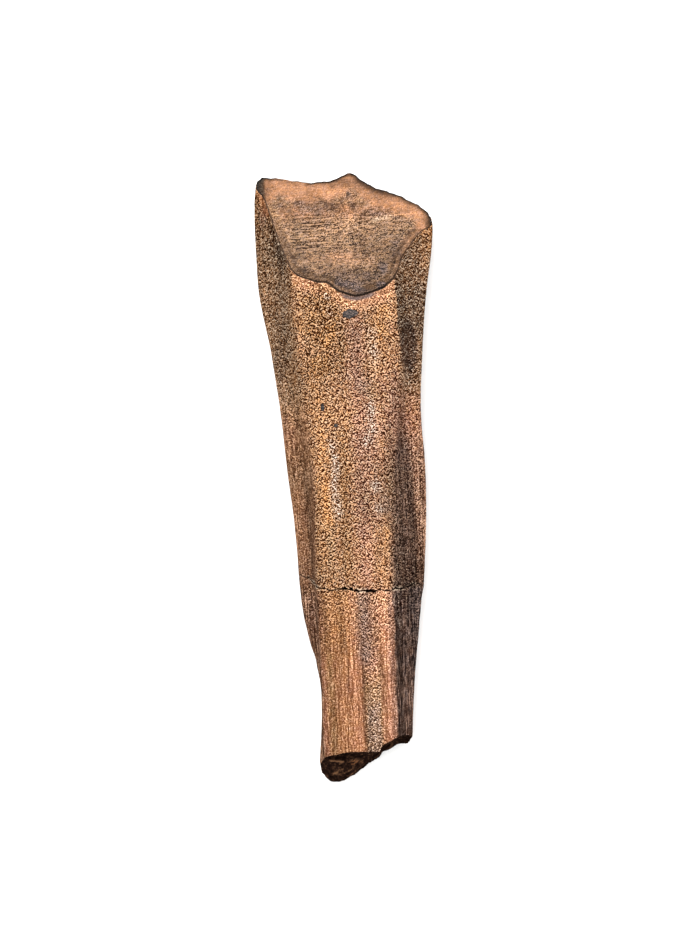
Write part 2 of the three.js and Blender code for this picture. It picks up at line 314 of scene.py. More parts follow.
def end_rings(rim, surface, middle, count):
    """Rings from a rim to the middle of an end, close together beside the rim."""
    x, _, z = rim
    reach = np.hypot(x - middle[0], z - middle[1])
    beside = [1 - distance / reach for distance in RIM_STEPS[-2::-1]]
    within = [beside[-1] * (1 - k / count) for k in range(1, count + 1)]
    keep = np.array(beside + within)
    x, z = mix(middle[0], x, keep), mix(middle[1], z, keep)
    return np.array([x, surface(x, z), z])


class Grid:
    """The closed surface as rows of columns, from the middle of the break to the middle of the facet."""

    def __init__(self, look):
        self.u = np.concatenate([i + np.arange(n) / n for i, n in enumerate(STEPS)])
        self.s = np.where(self.u > POINTS / 2, self.u - POINTS, self.u)
        self.turn = 2 * math.pi * self.u / POINTS
        bottom, top = meet(self.u, break_face, *BREAK_REACH), meet(self.u, wear_facet, *FACET_REACH)
        crack = crack_line(self.u)
        across, _, height = skin(self.u, crack[None])[0][:, 0]
        opening = crack_opening(across) * (height > GAP_LEVEL)
        ragged = 1 + 0.25 * np.sin(67 * self.turn) + 0.2 * np.sin(113 * self.turn + 2)
        crack = crack - 0.04 * opening * np.sign(across)
        half = mix(look.crack_width, look.gap_width, opening) / 2 / MM * ragged

        root_end, crown_start = crack + CRACK_ROWS[0][0] * half, crack + CRACK_ROWS[-1][0] * half
        root_start, crown_end = bottom + RIM_STEPS[0], top - RIM_STEPS[0]
        rows = [bottom + step for step in RIM_STEPS[::-1]]
        rows += [mix(root_start, root_end, k / ROOT_ROWS) for k in range(1, ROOT_ROWS)]
        share = [0] * len(rows) + [amount for _, amount in CRACK_ROWS]
        rows += [crack + offset * half for offset, _ in CRACK_ROWS]
        rows += [mix(crown_start, crown_end, k / CROWN_ROWS) for k in range(1, CROWN_ROWS)]
        rows += [top - step for step in RIM_STEPS]
        share += [0] * (len(rows) - len(share))
        y = np.array(rows)
        self.skin, outward = skin(self.u, y)

        depth = CRACK_DEPTH + look.gap_depth / MM * opening
        inward = np.array([CORE[0] - self.skin[0], np.zeros_like(y), CORE[1] - self.skin[2]])
        inward /= np.sqrt((inward**2).sum(0))
        self.crack_gap = np.abs(y - crack) - half
        self.crack_share = np.array(share, float)[:, None] * np.ones_like(y)
        self.facet = self.worn_end(look, outward, wear_facet, -1, top - y, FACET_MIDDLE, FACET_RINGS)
        rings = self.worn_end(look, outward, break_face, 0, y - bottom, BREAK_MIDDLE, BREAK_RINGS)
        self.break_ = rings[:, ::-1]
        self.skin = self.skin + inward * depth * self.crack_share

    def worn_end(self, look, outward, surface, row, gap, middle, count):
        """Wears the rim in a row of the skin round, and returns the rings that close it."""
        rim = self.skin[:, row]
        rings = end_rings(rim, surface, middle, count)
        end = facing(surface, rim[0], rim[2], -1 if row == 0 else 1)
        out = np.array([outward[0][row], np.zeros_like(rim[0]), outward[1][row]])
        half_way = out + end
        half_way /= np.sqrt((half_way**2).sum(0))
        sharp = 1 - (out * end).sum(0)
        chips = 1 + 0.4 * np.sin(29 * self.turn) * np.sin(11 * self.turn + 1) + 0.15 * np.sin(83 * self.turn)
        width = (look.rim_wear / MM) * (0.35 + sharp) * chips

        def pulled(points, reach):
            return points - half_way[:, None] * ROUNDING * width * np.clip(1 - reach / width, 0, 1) ** 2

        self.skin = pulled(self.skin, gap)
        return pulled(rings, np.hypot(rings[0] - rim[0], rings[2] - rim[2]))


# ---- Where each finish lies, as weights on the surface ----

MARKS = (
    "tone",  # how many times darker or lighter than the plain finish, in halvings and doublings
    "warmth",  # -1 mauve, 0 ochre, 1 orange
    "olive",  # greenish staining
    "slate",  # blue-grey staining
    "blot",  # dark grey blots: above 0 inside them
    "specks",  # whitish grains, and partly painted glints down the two ridges of the front
    "pebble",  # strength of the leathery grain
    "wrinkle",  # strength of the winding crevices
    "fibre",  # strength of the lengthwise fibres
    "streak",  # strength of the crosswise wear lines
    "ruled",  # strength of the long fine wear lines
    "mottle",  # strength of the broad dark and light speckling
    "rays",  # strength of the rays round the worn-through middle of the facet
    "crag",  # height of the broken layers
    "rim",  # distance inside the facet's rim, in mm
    "crack",  # distance from the crack's edge, in mm
    "chalk",  # pale crumbs beside the crack and pale edges on the break
    "enamel",  # the smooth enamelled face under the crown
)
AWAY = {"rim": 9, "crack": 9, "blot": -9}  # marks that start far from what they measure
FAR = 99  # a limit beyond the tooth, for a band that is open on one side


def spot(x, y, middle, size, edge=0.25):
    """An oval patch: 1 inside, 0 outside, with an edge that soft."""
    away = np.hypot((x - middle[0]) / size[0], (y - middle[1]) / size[1])
    return 1 - ramp(away, 1 - edge, 1 + edge)


def stroke(x, y, start, end, width):
    """A straight line with soft sides."""
    (x0, y0), (x1, y1) = start, end
    run, rise = x1 - x0, y1 - y0
    t = np.clip(((x - x0) * run + (y - y0) * rise) / (run**2 + rise**2), 0, 1)
    return bump(np.hypot(x - mix(x0, x1, t), y - mix(y0, y1, t)), 0, width)


def inside(x, y, middle, size):
    """1 in the middle of an oval, 0 on its edge and below 0 beyond it."""
    return 1 - np.hypot((x - middle[0]) / size[0], (y - middle[1]) / size[1])


def within_sides(x, y, middle, sides):
    """1 in the middle of a straight-sided patch, 0 on its edge; its sides are given as angle and reach."""
    away = []
    for angle, reach in sides:
        turn = math.radians(angle)
        away.append(((x - middle[0]) * math.cos(turn) + (y - middle[1]) * math.sin(turn)) / reach)
    return 1 - np.max(away, axis=0)


def profile(v, form):
    """1 where a form holds: a hump (middle, half width), a band (from, to, softness) or () for everywhere."""
    if len(form) == 3:
        return window(v, *form)
    return bump(v, *form) if form else 1


def fade(x, y, across, lengthwise):
    """A soft patch or band, given by its forms across and along the tooth."""
    return profile(x, across) * profile(y, lengthwise)


def painted(x, y, zones, fades, ovals, strokes):
    """The marks of a region, laid down by its tables.

    A table's key is a mark and the zones that it keeps to. Its value is the rows laid down there, each
    ending in its amount, or one amount for the whole of the zones.
    """
    marks = {name: np.full_like(y, AWAY.get(name, 0)) for name in MARKS}
    for table, brush in ((fades, fade), (ovals, spot), (strokes, stroke)):
        for words, forms in table.items():
            mark, *names = words.split()
            area = math.prod(zones[name] for name in names)
            for *form, amount in forms if isinstance(forms, tuple) else [(forms,)]:
                marks[mark] += amount * area * (brush(x, y, *form) if form else 1)
    return marks


# How much darker each flank is down its length, in halvings: partly its own colour, partly painted shade of
# its steep slope.
left_tone = along(
    (-16, -1.4), (-8.5, -0.9), (-6.5, -0.5), (-3.5, -0.2), (-1, -0.2), (2, -0.25), (4, -0.05), (6, -0.5),
    (8.5, -1.1), (10, -1.3), (12, -1.1), (14.5, -1.7), (16, -1.6)
)
right_tone = along(
    (-16, -1.05), (-7.6, -1.15), (-6.5, -0.7), (-3, -0.1), (0.5, -0.15), (3.5, 0.35), (6.8, -0.65),
    (8, -1.05), (9.8, -1.6), (12, -1.75), (14, -1.25), (16, -1.15)
)

# Lengthwise streaks on the skin: middle x, half width, from y to y, tone, warmth
STREAKS = (
    (-2.9, 0.3, 6.5, 10, 0.5, 0), (-2.1, 0.35, 0.5, 3.5, 0.4, 0.2), (-1.85, 0.35, -3.5, 0, 0.5, 0.4),
    (-2.6, 0.35, -6.5, -1, -0.45, 0.1), (-0.75, 0.35, -6.5, 2.8, -0.5, 0.4), (-0.5, 0.3, 6.5, 9.8, -0.5, 0.3),
    (0.3, 0.35, 7, 10, -0.4, -0.1), (1.6, 0.6, 9.5, 12, -0.2, -0.3), (2.65, 0.3, 9.5, 12.5, 0.2, 0),
    (0.6, 0.4, -3, 0, -0.45, 0.2), (1.5, 0.6, -3, 1, -0.25, 0), (1.95, 0.3, -6.5, -3.5, 0.4, 0.2),
    (0.8, 0.3, -6.5, -3.5, 0.2, 0), (2.95, 0.5, 3, 6.5, -0.6, -0.5), (2.85, 0.35, 0.5, 3, 0.4, -0.4),
    (3.05, 0.2, -6.5, -3.5, -0.5, -0.4), (4.05, 0.2, -6.5, -3.5, -0.6, -0.6),
    (3.3, 0.25, -6.8, -1, 0.4, -0.2), (3.75, 0.16, -6.5, -1, -0.7, -0.3),
    (-2.4, 0.25, -11.5, -7.5, -0.5, 0.1), (-1.7, 0.2, -10.5, -8, 0.2, 0.1),
    (-1.2, 0.3, -11.5, -7.6, -0.35, 0.1), (1.3, 0.35, -11.5, -7.5, 0.4, -0.4),
    (2.15, 0.15, -11.5, -7.5, 0.3, -0.3), (2.6, 0.4, -11.5, -7.5, -0.35, 0),
    (3.15, 0.3, -11.5, -7.5, -0.4, -0.3), (3.8, 0.3, -12, -7.5, 0.4, -0.3), (-1.25, 0.2, -15, -12, 0.4, 0),
    # The first streak below, a dark line at x -0.02, is painted shadow on the left wall of the root's gutter.
    (-0.02, 0.09, -17.8, -12.4, -0.9, 0), (0.72, 0.25, -15, -12, 0.4, -0.3),
    (1.2, 0.3, -17.5, -12, -0.35, -0.1), (2, 0.15, -15, -12, -0.4, -0.6), (2.85, 0.3, -15, -8.5, 0.5, -0.1),
    (-2.65, 0.2, -17.8, -15, 0.4, -0.3), (-2.05, 0.2, -17.8, -15, -0.5, 0.3), (0.3, 0.2, -17.8, -15, -0.4, 0),
    (3.35, 0.35, -5, -2.2, -0.5, -0.2), (3.9, 0.3, -7.2, -6, -0.6, -0.4), (-2.6, 0.5, -7, -6.2, -0.7, 0),
    (-3.8, 0.35, -3, 1.8, -0.3, -0.1), (-2.9, 0.45, 5, 7.8, -0.6, 0), (1.5, 0.6, 5, 5.9, -0.55, 0),
    (-1.2, 0.4, 6.4, 7.2, -0.3, 0), (1, 0.6, 9.4, 11.6, -0.2, 0), (0.4, 0.4, -4, 1.2, -0.2, 0),
    (-2, 0.4, -2.6, -0.2, -0.25, 0), (-2.2, 0.9, -7, -6.3, -0.3, 0), (2, 0.6, -7, -6.2, 0.35, 0),
    (0.4, 1.2, 3.2, 4.6, 0.2, 0), (1.6, 0.6, 11, 12, 0.3, 0), (2, 0.35, -4, -0.2, -0.25, 0),
    (1.2, 0.5, -17, -15.2, 0.25, 0), (2.8, 0.3, -17, -15, 0.5, 0), (2, 0.3, -1, 0.8, -0.5, -0.2),
    (1.6, 0.45, 2.4, 4.6, 0.4, 0), (2.65, 0.3, 3, 3.8, 0.6, 0), (-1.9, 0.4, 6, 7, -0.35, 0),
    (-1.9, 0.5, 9, 9.8, 0.3, 0), (3.9, 0.35, 6.2, 6.8, -0.7, 0), (0.9, 0.4, -1, 0, 0.35, 0),
    (2.4, 0.2, -17, -8.5, -0.9, 0), (-1.05, 0.07, -14.5, -10, -0.6, 0), (-1.38, 0.07, -12.5, -8.5, -0.5, 0),
)

# Fades on the skin: form across, form lengthwise, amount
SKIN_FADES = {
    "tone": (
        ((2, 0.4), (-11.3, 0.8), 0.3), ((2.75, 0.4), (-13.6, 1.2), -0.35), ((-2.8, 0.3), (-17.4, 0.6), 0.3),
        ((-1.6, 0.7), (7.2, 0.5), -0.35), ((-1.1, 0.3), (10.3, 0.6), 0.25),
        ((-1.5, 0.4), (-3.4, 0.9), -0.25), ((-0.9, 0.35), (1.9, 0.7), 0.3), ((1.5, 0.4), (1.8, 0.7), 0.25),
        ((0.9, 0.3), (-8.9, 0.7), 0.25), ((-1.6, 0.5), (-15.6, 1.2), 0.2), ((0.9, 0.3), (-15.8, 1), 0.2),
    ),
    "tone front": (
        ((3.4, 0.35), (-8.8, 0.6), -0.45), ((4, 0.3), (-4.8, 0.7), 0.4), ((4.1, 0.4), (13.6, 0.6), -0.3),
        ((-3.8, 0.3), (-1.1, 0.8), 0.35), ((4.8, 0.3), (10.9, 0.7), 0.35), ((3.1, 0.2), (-4.4, 0.7), 0.35),
        ((3.7, 0.3), (9.4, 0.4), 0.3), ((-1.9, 0.35), (-4.6, 0.6), -0.3), ((2.8, 0.3), (4.9, 0.5), -0.3),
        ((-2.7, 0.4), (-7, 0.3), -0.3), ((-4.5, 0.3), (7.5, 0.6), 0.3), ((3.7, 0.35), (-7, 0.4), -0.3),
        ((-3.2, 0.3), (-5.9, 0.5), 0.3), ((2.5, 0.3), (3.8, 0.4), 0.3),
    ),
    "tone left": (
        ((), (-FAR, 4.5, 2.5), 0.2), ((-3.6, 0.4), (-8.2, 0.6), 0.4), ((-4.2, 0.5), (9.8, 0.8), -0.25),
        ((-3.6, 0.4), (8.3, 0.7), -0.25), ((-4.3, 0.3), (4.3, 1.6), -0.4), ((-3.3, 0.3), (6.7, 1), -0.2),
        ((-4.3, 0.35), (5.5, 10.5, 0.5), 0.3), ((-3.8, 0.3), (4.2, 1), 0.3),
    ),
    "tone right": (
        ((4.4, 0.4), (-0.7, 0.7), 0.3), ((2.8, 0.3), (-0.7, 0.6), 0.25), ((5.3, 0.4), (13.3, 1.2), 0.8),
        ((3.1, 0.3), (2, 1), -0.5), ((4.1, 0.7), (9.8, 0.6), -0.4), ((4.1, 0.6), (11.5, 0.6), -0.3),
        ((4.4, 0.4), (-3.7, 0.8), 0.45), ((4, 0.4), (6.4, 0.9), -0.6), ((), (12.8, 0.8), 0.3),
        ((2.1, 0.2), (-FAR, -14, 0.5), -0.3), ((4.2, 0.3), (-6.5, -1, 1), -0.15), ((), (-FAR, 2, 2), 0.1),
    ),
    "tone flanks": (((), (6.5, FAR, 1.5), 0.15),),
    "tone panel": (
        ((), (), -0.08), ((), (-FAR, -11.5, 1), 0.32), ((1.2, 3.1, 0.2), (4, 11, 1), 0.2),
        ((0.35, 0.4), (-12.5, -7.5, 0.8), -0.25), ((2.5, 0.35), (-4, 3.5, 1.5), -0.7),
        ((0.1, 1, 0.15), (-FAR, -13.75, 0.75), -0.15),
    ),
    "tone root": (((2.85, 0.35), (-9.7, 0.8), -0.5),),
    "tone root panel": (
        ((-FAR, -0.65, 0.35), (-12, -7.5, 1), 0.25), ((-FAR, -2.2, 0.4), (), -0.25), ((-0.6, 0.4), (), 0.4),
        ((1.6, 0.4), (), 0.85),
    ),
    "tone bare right": (((5.5, 0.5), (14.3, 17, 0.4), 0.9),),
    # Darker in the right flank's flute, next to the panel: partly painted shade.
    "tone near right": (((), (9, 13, 0.6), -0.6),),
    "tone lip": 0.95,
    "tone under": -0.6,
    "tone edging": 1.2,
    "tone halo": -0.4,
    "tone calm": 0.1,
    "warmth": (
        ((-1.1, 0.3), (10.5, 0.8), 1.2), ((-1.2, 0.4), (9, 0.7), 1), ((-0.4, 0.7), (7.6, 1.2), -0.6),
        ((-1.7, 0.8), (7.2, 0.6), 0.7), ((2, 0.6), (9.6, 1.2), 0.5),
    ),
    "warmth front": (
        ((-5.2, 0.4), (17.3, 1.1), -0.9), ((5.4, 0.4), (15.5, 0.7), -0.6), ((-0.4, 0.5), (7.9, 0.8), 0.5),
        ((-3.6, 0.4), (5.7, 0.7), 0.5), ((-4.1, 0.4), (2.7, 1), -0.6), ((-3.2, 0.3), (-9.4, 0.8), -0.6),
        ((1.9, 0.4), (5.9, 0.7), -0.6), ((2, 0.3), (-17.1, 0.6), -0.6), ((4, 0.3), (-4.8, 0.7), -0.3),
        ((2.8, 0.3), (4.9, 0.5), -0.4),
    ),
    "warmth left": (
        ((), (), -0.15), ((), (5, FAR, 2), 0.5), ((-4.6, 0.5), (6.2, 1.4), -0.4),
        ((-4.4, 0.5), (3.8, 1), -0.4), ((-3.6, 0.5), (5, 12, 1), 0.3),
    ),
    "warmth right": (
        ((), (), -0.4), ((), (6, FAR, 2), 0.7), ((5.5, 0.4), (14.3, 17, 0.4), 0.5),
        ((), (-FAR, -1, 2), -0.3), ((3.7, 0.5), (7.5, 13, 1), 0.6),
    ),
    "warmth panel": (
        ((2.4, 0.6), (0, 8, 1), -0.45), ((-2.1, 0.6), (-7, 8, 1), 0.3), ((2.1, 0.7), (4, 11, 1), 0.25),
        ((0.5, 0.55), (-12.5, 10.3, 0.7), -0.75), ((1.4, 0.6), (-3, 4, 1), -0.5),
        ((), (-FAR, -11.5, 1.5), -0.2),
    ),
    "warmth root": (((2, 0.25), (), -0.35),),
    "warmth root left": -0.4,
    "warmth root right": -0.3,
    "warmth root panel": (
        ((-1.4, 0.3), (), 0.1), ((-FAR, -2.4, 0.2), (), -0.4), ((-0.5, 0.45), (), -0.4),
        ((1.75, 0.4), (), -0.4),
    ),
    "warmth lip": -0.4,
    "warmth edging": -0.3,
    # The specks down the right ridge, near x 1.3, are partly painted glints on its top.
    "specks": (
        ((1.3, 0.27), (4.5, 0.36), 0.9), ((1.25, 0.27), (3.8, 0.36), 0.9), ((1.35, 0.27), (3, 0.36), 0.9),
        ((0.95, 0.27), (2.2, 0.36), 0.9), ((1.35, 0.27), (-0.7, 0.36), 0.9),
        ((1.6, 0.35), (9.2, 0.35), 0.2), ((1.65, 0.3), (7.9, 0.45), 0.45), ((1.45, 0.3), (-2.2, 0.3), 0.6),
        ((-1.1, 0.25), (10.6, 0.5), 0.5),
    ),
    "specks left": (((), (5, 16, 1), 0.1),),
    "specks right": (((), (5, 15, 1), 0.15),),
    "specks panel": (((1.55, 0.35), (7, 9.6, 0.8), 0.18), ((0.2, 1, 0.15), (-FAR, -13.75, 0.75), 0.25)),
    "specks root right": (((2.4, 0.2), (-12.5, -7.6, 0.6), 0.1),),
    "olive": (((-1.75, 0.25), (-4.3, 1.1), 0.9),),
    "olive left": (((), (4, 17, 2), 0.25), ((), (-FAR, 1, 2), 0.35), ((), (-1, 6, 1), 0.4)),
    "olive right": (((), (5, 15, 1), 0.2), ((), (-FAR, 1, 2), 0.4)),
    "olive panel": (
        ((0.05, 1.05, 0.12), (-FAR, -13.4, 1.1), 0.9), ((-2.15, 0.25), (-FAR, -11.25, 0.75), 0.7),
    ),
    "olive root panel": 0.25,
    "olive lip": 0.5,
    "slate left": (((), (-FAR, -0.5, 4.5), 0.3), ((), (-1, 6, 1), 0.15)),
    "slate panel": (
        ((0.1, 0.5), (-12.3, -7.6, 0.5), 0.5), ((0.1, 1, 0.1), (-FAR, -14.75, 0.75), 0.35),
        ((), (-FAR, -11.5, 1.5), 0.1),
    ),
    "slate root panel": (((2, 0.35), (), 0.25), ((-2.9, 0.4), (), 0.15), ((0, FAR, 0.3), (), 0.1)),
    "slate root right": (((), (), 0.75), ((3.35, FAR, 0.25), (), 0.4)),
    "slate crown right": (((), (-FAR, 3, 1.5), 0.55), ((3.7, FAR, 0.2), (-FAR, 3, 1.5), -0.22)),
    "slate lip": 0.15,
    "slate halo": 0.9,
    "mottle flanks": (((), (4.5, FAR, 2.5), 1),),
    "wrinkle rough": 2.1,
    "wrinkle below panel": (((), (-2, 11, 1.5), 0.35),),
    "chalk": 0.05,
    "chalk front": (((-0.2, 0.4, 0.1), (), 0.7), ((2, 2.8, 0.2), (), 0.45), ((-3.3, -2.6, 0.2), (), 0.5)),
}
# Ovals on the skin: middle, half size, softness of the edge, amount
# The dusky patch is partly a stain and partly painted shade under the right shoulder.
DUSKY = (3.9, 8.3), (0.6, 1.7), 0.3  # the calm dark patch on the right flank
SKIN_OVALS = {
    "tone left": (((-4.55, 7.6), (0.45, 1.3), 0.4, -0.8),),
    "tone right": (((3.9, 8.3), (0.5, 1.6), 0.15, -0.95), ((3.2, -7.9), (1.1, 0.3), 0.5, -0.5)),
    "tone panel": (((-1.9, 10.2), (1.2, 1.7), 0.3, -0.2),),
    "warmth panel": (((-1.9, 10.2), (1.2, 1.7), 0.3, 0.5),),
    "specks": (((-1.2, 11.65), (0.2, 0.2), 0.4, 0.9), ((-5.3, 19.3), (0.3, 0.25), 0.5, 0.6)),
    "slate": (((1.9, -1.9), (0.35, 0.7), 0.5, 0.35), ((0.9, 5.8), (0.5, 0.6), 0.6, 0.3)),
    "slate right": ((*DUSKY, 0.5),),
}
# Straight lines on the skin: start, end, width, amount
SKIN_STROKES = {
    "tone": (
        ((2.72, -8.3), (2.8, -10), 0.05, 1.2), ((2.12, -13.7), (2.28, -15), 0.07, 1.6),
        ((-0.85, -7.03), (0.3, -7.2), 0.05, -1.3),
    ),
}
BLOTS = (((-1.85, 4.5), (0.11, 0.26)), ((-1.05, 3.3), (0.13, 0.12)))  # middle, half size
# The straight-sided blot: its middle and its sides
STONE = (0.12, 10.43), ((180, 0.4), (248, 0.31), (298, 0.33), (68, 0.34), (115, 0.27), (0, 0.6))

STAR = (0.45, 16.65)  # the worn-through middle of the facet
PIT = (0.42, 18.55), (0.14, 0.2), 0.5  # the dark pit near the facet's far rim
SCRATCH = (2, 16.65), (3.1, 16.9)  # the pale scratch to the right of the middle, from end to end

# Fades, ovals and strokes of the facet, laid down as on the skin
FACET_FADES = {
    "tone": (
        ((-4.9, 0.3), (18.9, 0.7), -0.9), ((0.3, 0.9), (19.3, 0.3), -0.8), ((-2.7, 0.6), (17.5, 0.35), 0.5),
        ((-3.3, 0.6), (16.8, 0.3), -0.4), ((2.5, 0.6), (13.7, 0.4), -0.7), ((1.9, 1.1), (14.6, 0.4), -0.35),
        ((0, 1.1), (13.5, 0.35), -0.4), ((-1.4, 0.5), (12.8, 0.3), -0.3), ((0.4, 0.6), (12.8, 0.2), 0.35),
        ((2.5, 0.5), (12.1, 0.25), -0.4), ((4.1, 0.35), (15.2, 0.5), -0.5),
        ((1.4, 0.5), (15.8, 0.3), -0.35), ((-2.9, 0.4), (14.4, 0.35), -0.4),
        ((-0.7, 0.5), (14.4, 0.3), 0.4), ((5.6, 0.22), (16.3, 0.35), -1.6),
        ((-3.3, 0.5), (17.4, 0.25), -0.3), ((-4.1, 0.4), (14.6, 0.6), -0.35),
        ((1.6, 1.4), (14.9, 0.7), -0.25), ((-2, 0.4), (12.9, 0.2), 0.3), ((1.2, 0.5), (18.7, 0.3), -0.2),
        ((-0.4, 0.4), (14.2, 0.4), 0.2), ((-3.2, 0.6), (17.2, 0.3), -0.2), ((1, 0.6), (15.7, 0.3), -0.25),
        ((4.4, 0.4), (15.7, 0.4), -0.3), ((2.9, 0.4), (14.3, 0.4), -0.25), ((0.4, 0.5), (12.7, 0.2), 0.3),
        ((1, 0.5), (17.3, 0.25), -0.2), ((-4.4, 0.4), (17.5, 0.5), 0.35), ((-1.2, 0.4), (15.9, 0.4), 0.3),
        ((3.6, 0.3), (14.5, 0.3), 0.35), ((2, 0.6), (12.8, 0.3), -0.3), ((-0.2, 0.7), (18.9, 0.4), 0.3),
        ((-0.4, 0.4), (17.3, 0.3), 0.25), ((-2.2, 1), (15.6, 0.3), 0.25), ((3.2, 0.6), (15.4, 0.25), 0.25),
        ((0.6, 0.5), (16.6, 0.4), 0.25), ((2.3, 0.35), (12.2, 0.25), 1.6), ((1.4, 0.3), (12.35, 0.3), -0.4),
        ((-0.9, 0.3), (12.75, 0.2), -0.4), ((0.3, 0.7), (12.25, 0.12), 0.25),
        ((2.7, 0.3), (12.3, 0.3), -0.35), ((-0.7, 0.5), (18.1, 0.3), -0.35),
        ((2.5, 0.4), (13.3, 0.3), -0.3), ((-2, 0.4), (13.1, 0.3), 0.35), ((0.9, 0.4), (18.2, 0.3), 0.35),
        ((-3, 0.15), (14.3, 15.5, 0.3), -0.4), ((0.3, 0.25), (13.4, 17.2, 0.4), 0.3),
        # Near black in the far left corner: partly painted shade where the rim turns away.
        ((-FAR, -5.075, 0.125), (18.3, FAR, 0.3), -3.4),
    ),
    "tone band": -0.1,
    "tone border": (((), (), -0.4), ((), (-FAR, 13.25, 0.35), -0.8), ((), (13.2, 16.2, 0.5), -0.5)),
    "tone basin": (
        ((), (), -0.72), ((-3.4, 0, 0.4), (17.5, 0.45), -0.35), ((0.6, 1.6), (13.7, 0.5), 0.3),
        ((), (17.2, 0.4), 0.2), ((-3.2, 0.4), (13, 16, 0.5), -0.25),
    ),
    "tone low": -0.75,
    "warmth": (((0.6, 0.9), (17.4, 0.5), 0.3), ((0, 1.5), (14.2, 0.5), 0.5)),
    "warmth band": 1,
    "warmth border": (((), (), -0.15), ((3, FAR, 1), (), 0.5)),
    "warmth basin": (((), (), 0.1), ((), (17.4, 0.6), 0.6)),
    "slate basin": (((-3, -0.35, 0.4), (17.6, 0.4), 0.4),),
    "slate low": 0.4,
    "specks": (((-FAR, -5.05, 0.15), (18.3, FAR, 0.3), 0.12),),
    "pebble": 0.12,
    "pebble basin": 0.1,
    "streak worn": 1,
    "streak band": 0.08,
    "streak border": 0.15,
    "ruled worn": (((), (), 0.3), ((-3.4, -0.6, 0.5), (14.6, 17.2, 0.4), 1)),
    "mottle basin": (((), (17.1, FAR, 0.3), 1),),
    "mottle band": 0.5,
}
FACET_OVALS = {
    "tone": (
        ((-2.6, 13.5), (0.35, 0.25), 0.5, -0.5), ((3.4, 14.6), (0.4, 0.9), 0.6, -0.5),
        (*PIT, -0.9),
    ),
    "slate": (
        ((0.78, 17.72), (0.2, 0.22), 0.5, 0.5), ((2.1, 17.2), (0.95, 0.3), 0.5, 0.45),
        ((-2.75, 18.12), (0.4, 0.2), 0.6, 0.5), ((-4.1, 17.9), (0.2, 0.15), 0.6, 0.5),
        ((2.3, 12.2), (0.33, 0.26), 0.4, 1.4), ((2.45, 13.45), (0.3, 0.4), 0.5, 0.8),
        ((3.4, 14.7), (0.4, 0.7), 0.5, 0.4), ((-2.6, 13.5), (0.3, 0.25), 0.5, 0.35), (*PIT, 0.6),
    ),
}
FACET_STROKES = {
    "tone": ((*SCRATCH, 0.08, 0.9), ((3.1, 16.9), (5.2, 17.02), 0.06, 0.7)),
    "slate": (((-0.5, 12.5), (1.05, 11.95), 0.22, 1.5),),
    "specks": ((*SCRATCH, 0.12, 0.6),),
}

# Fades, ovals and strokes of the break
BREAK_FADES = {
    "crag": 1,
    "tone": (
        ((0, FAR, 0.4), (), -0.35), ((-0.6, 0.6), (-18.7, 0.35), 0.3), ((-2, 0.6), (-18.2, 0.2), -0.4),
    ),
    "specks": (((-0.85, 0.55), (-18.8, 0.4), 1),),
    "chalk": (((-0.7, 0.55), (-18.75, 0.3), 0.4),),
}
BREAK_OVALS = {
    "tone": (((-1.7, -18.25), (1.3, 0.25), 0.5, -0.8),),
}
BREAK_STROKES = {
    "chalk": (
        ((-2.45, -18.5), (-1.6, -18.62), 0.06, 1), ((-2.45, -19.6), (-1.75, -19.2), 0.08, 0.7),
        ((-1.8, -19.55), (-0.9, -19.25), 0.07, 0.6),
    ),
}


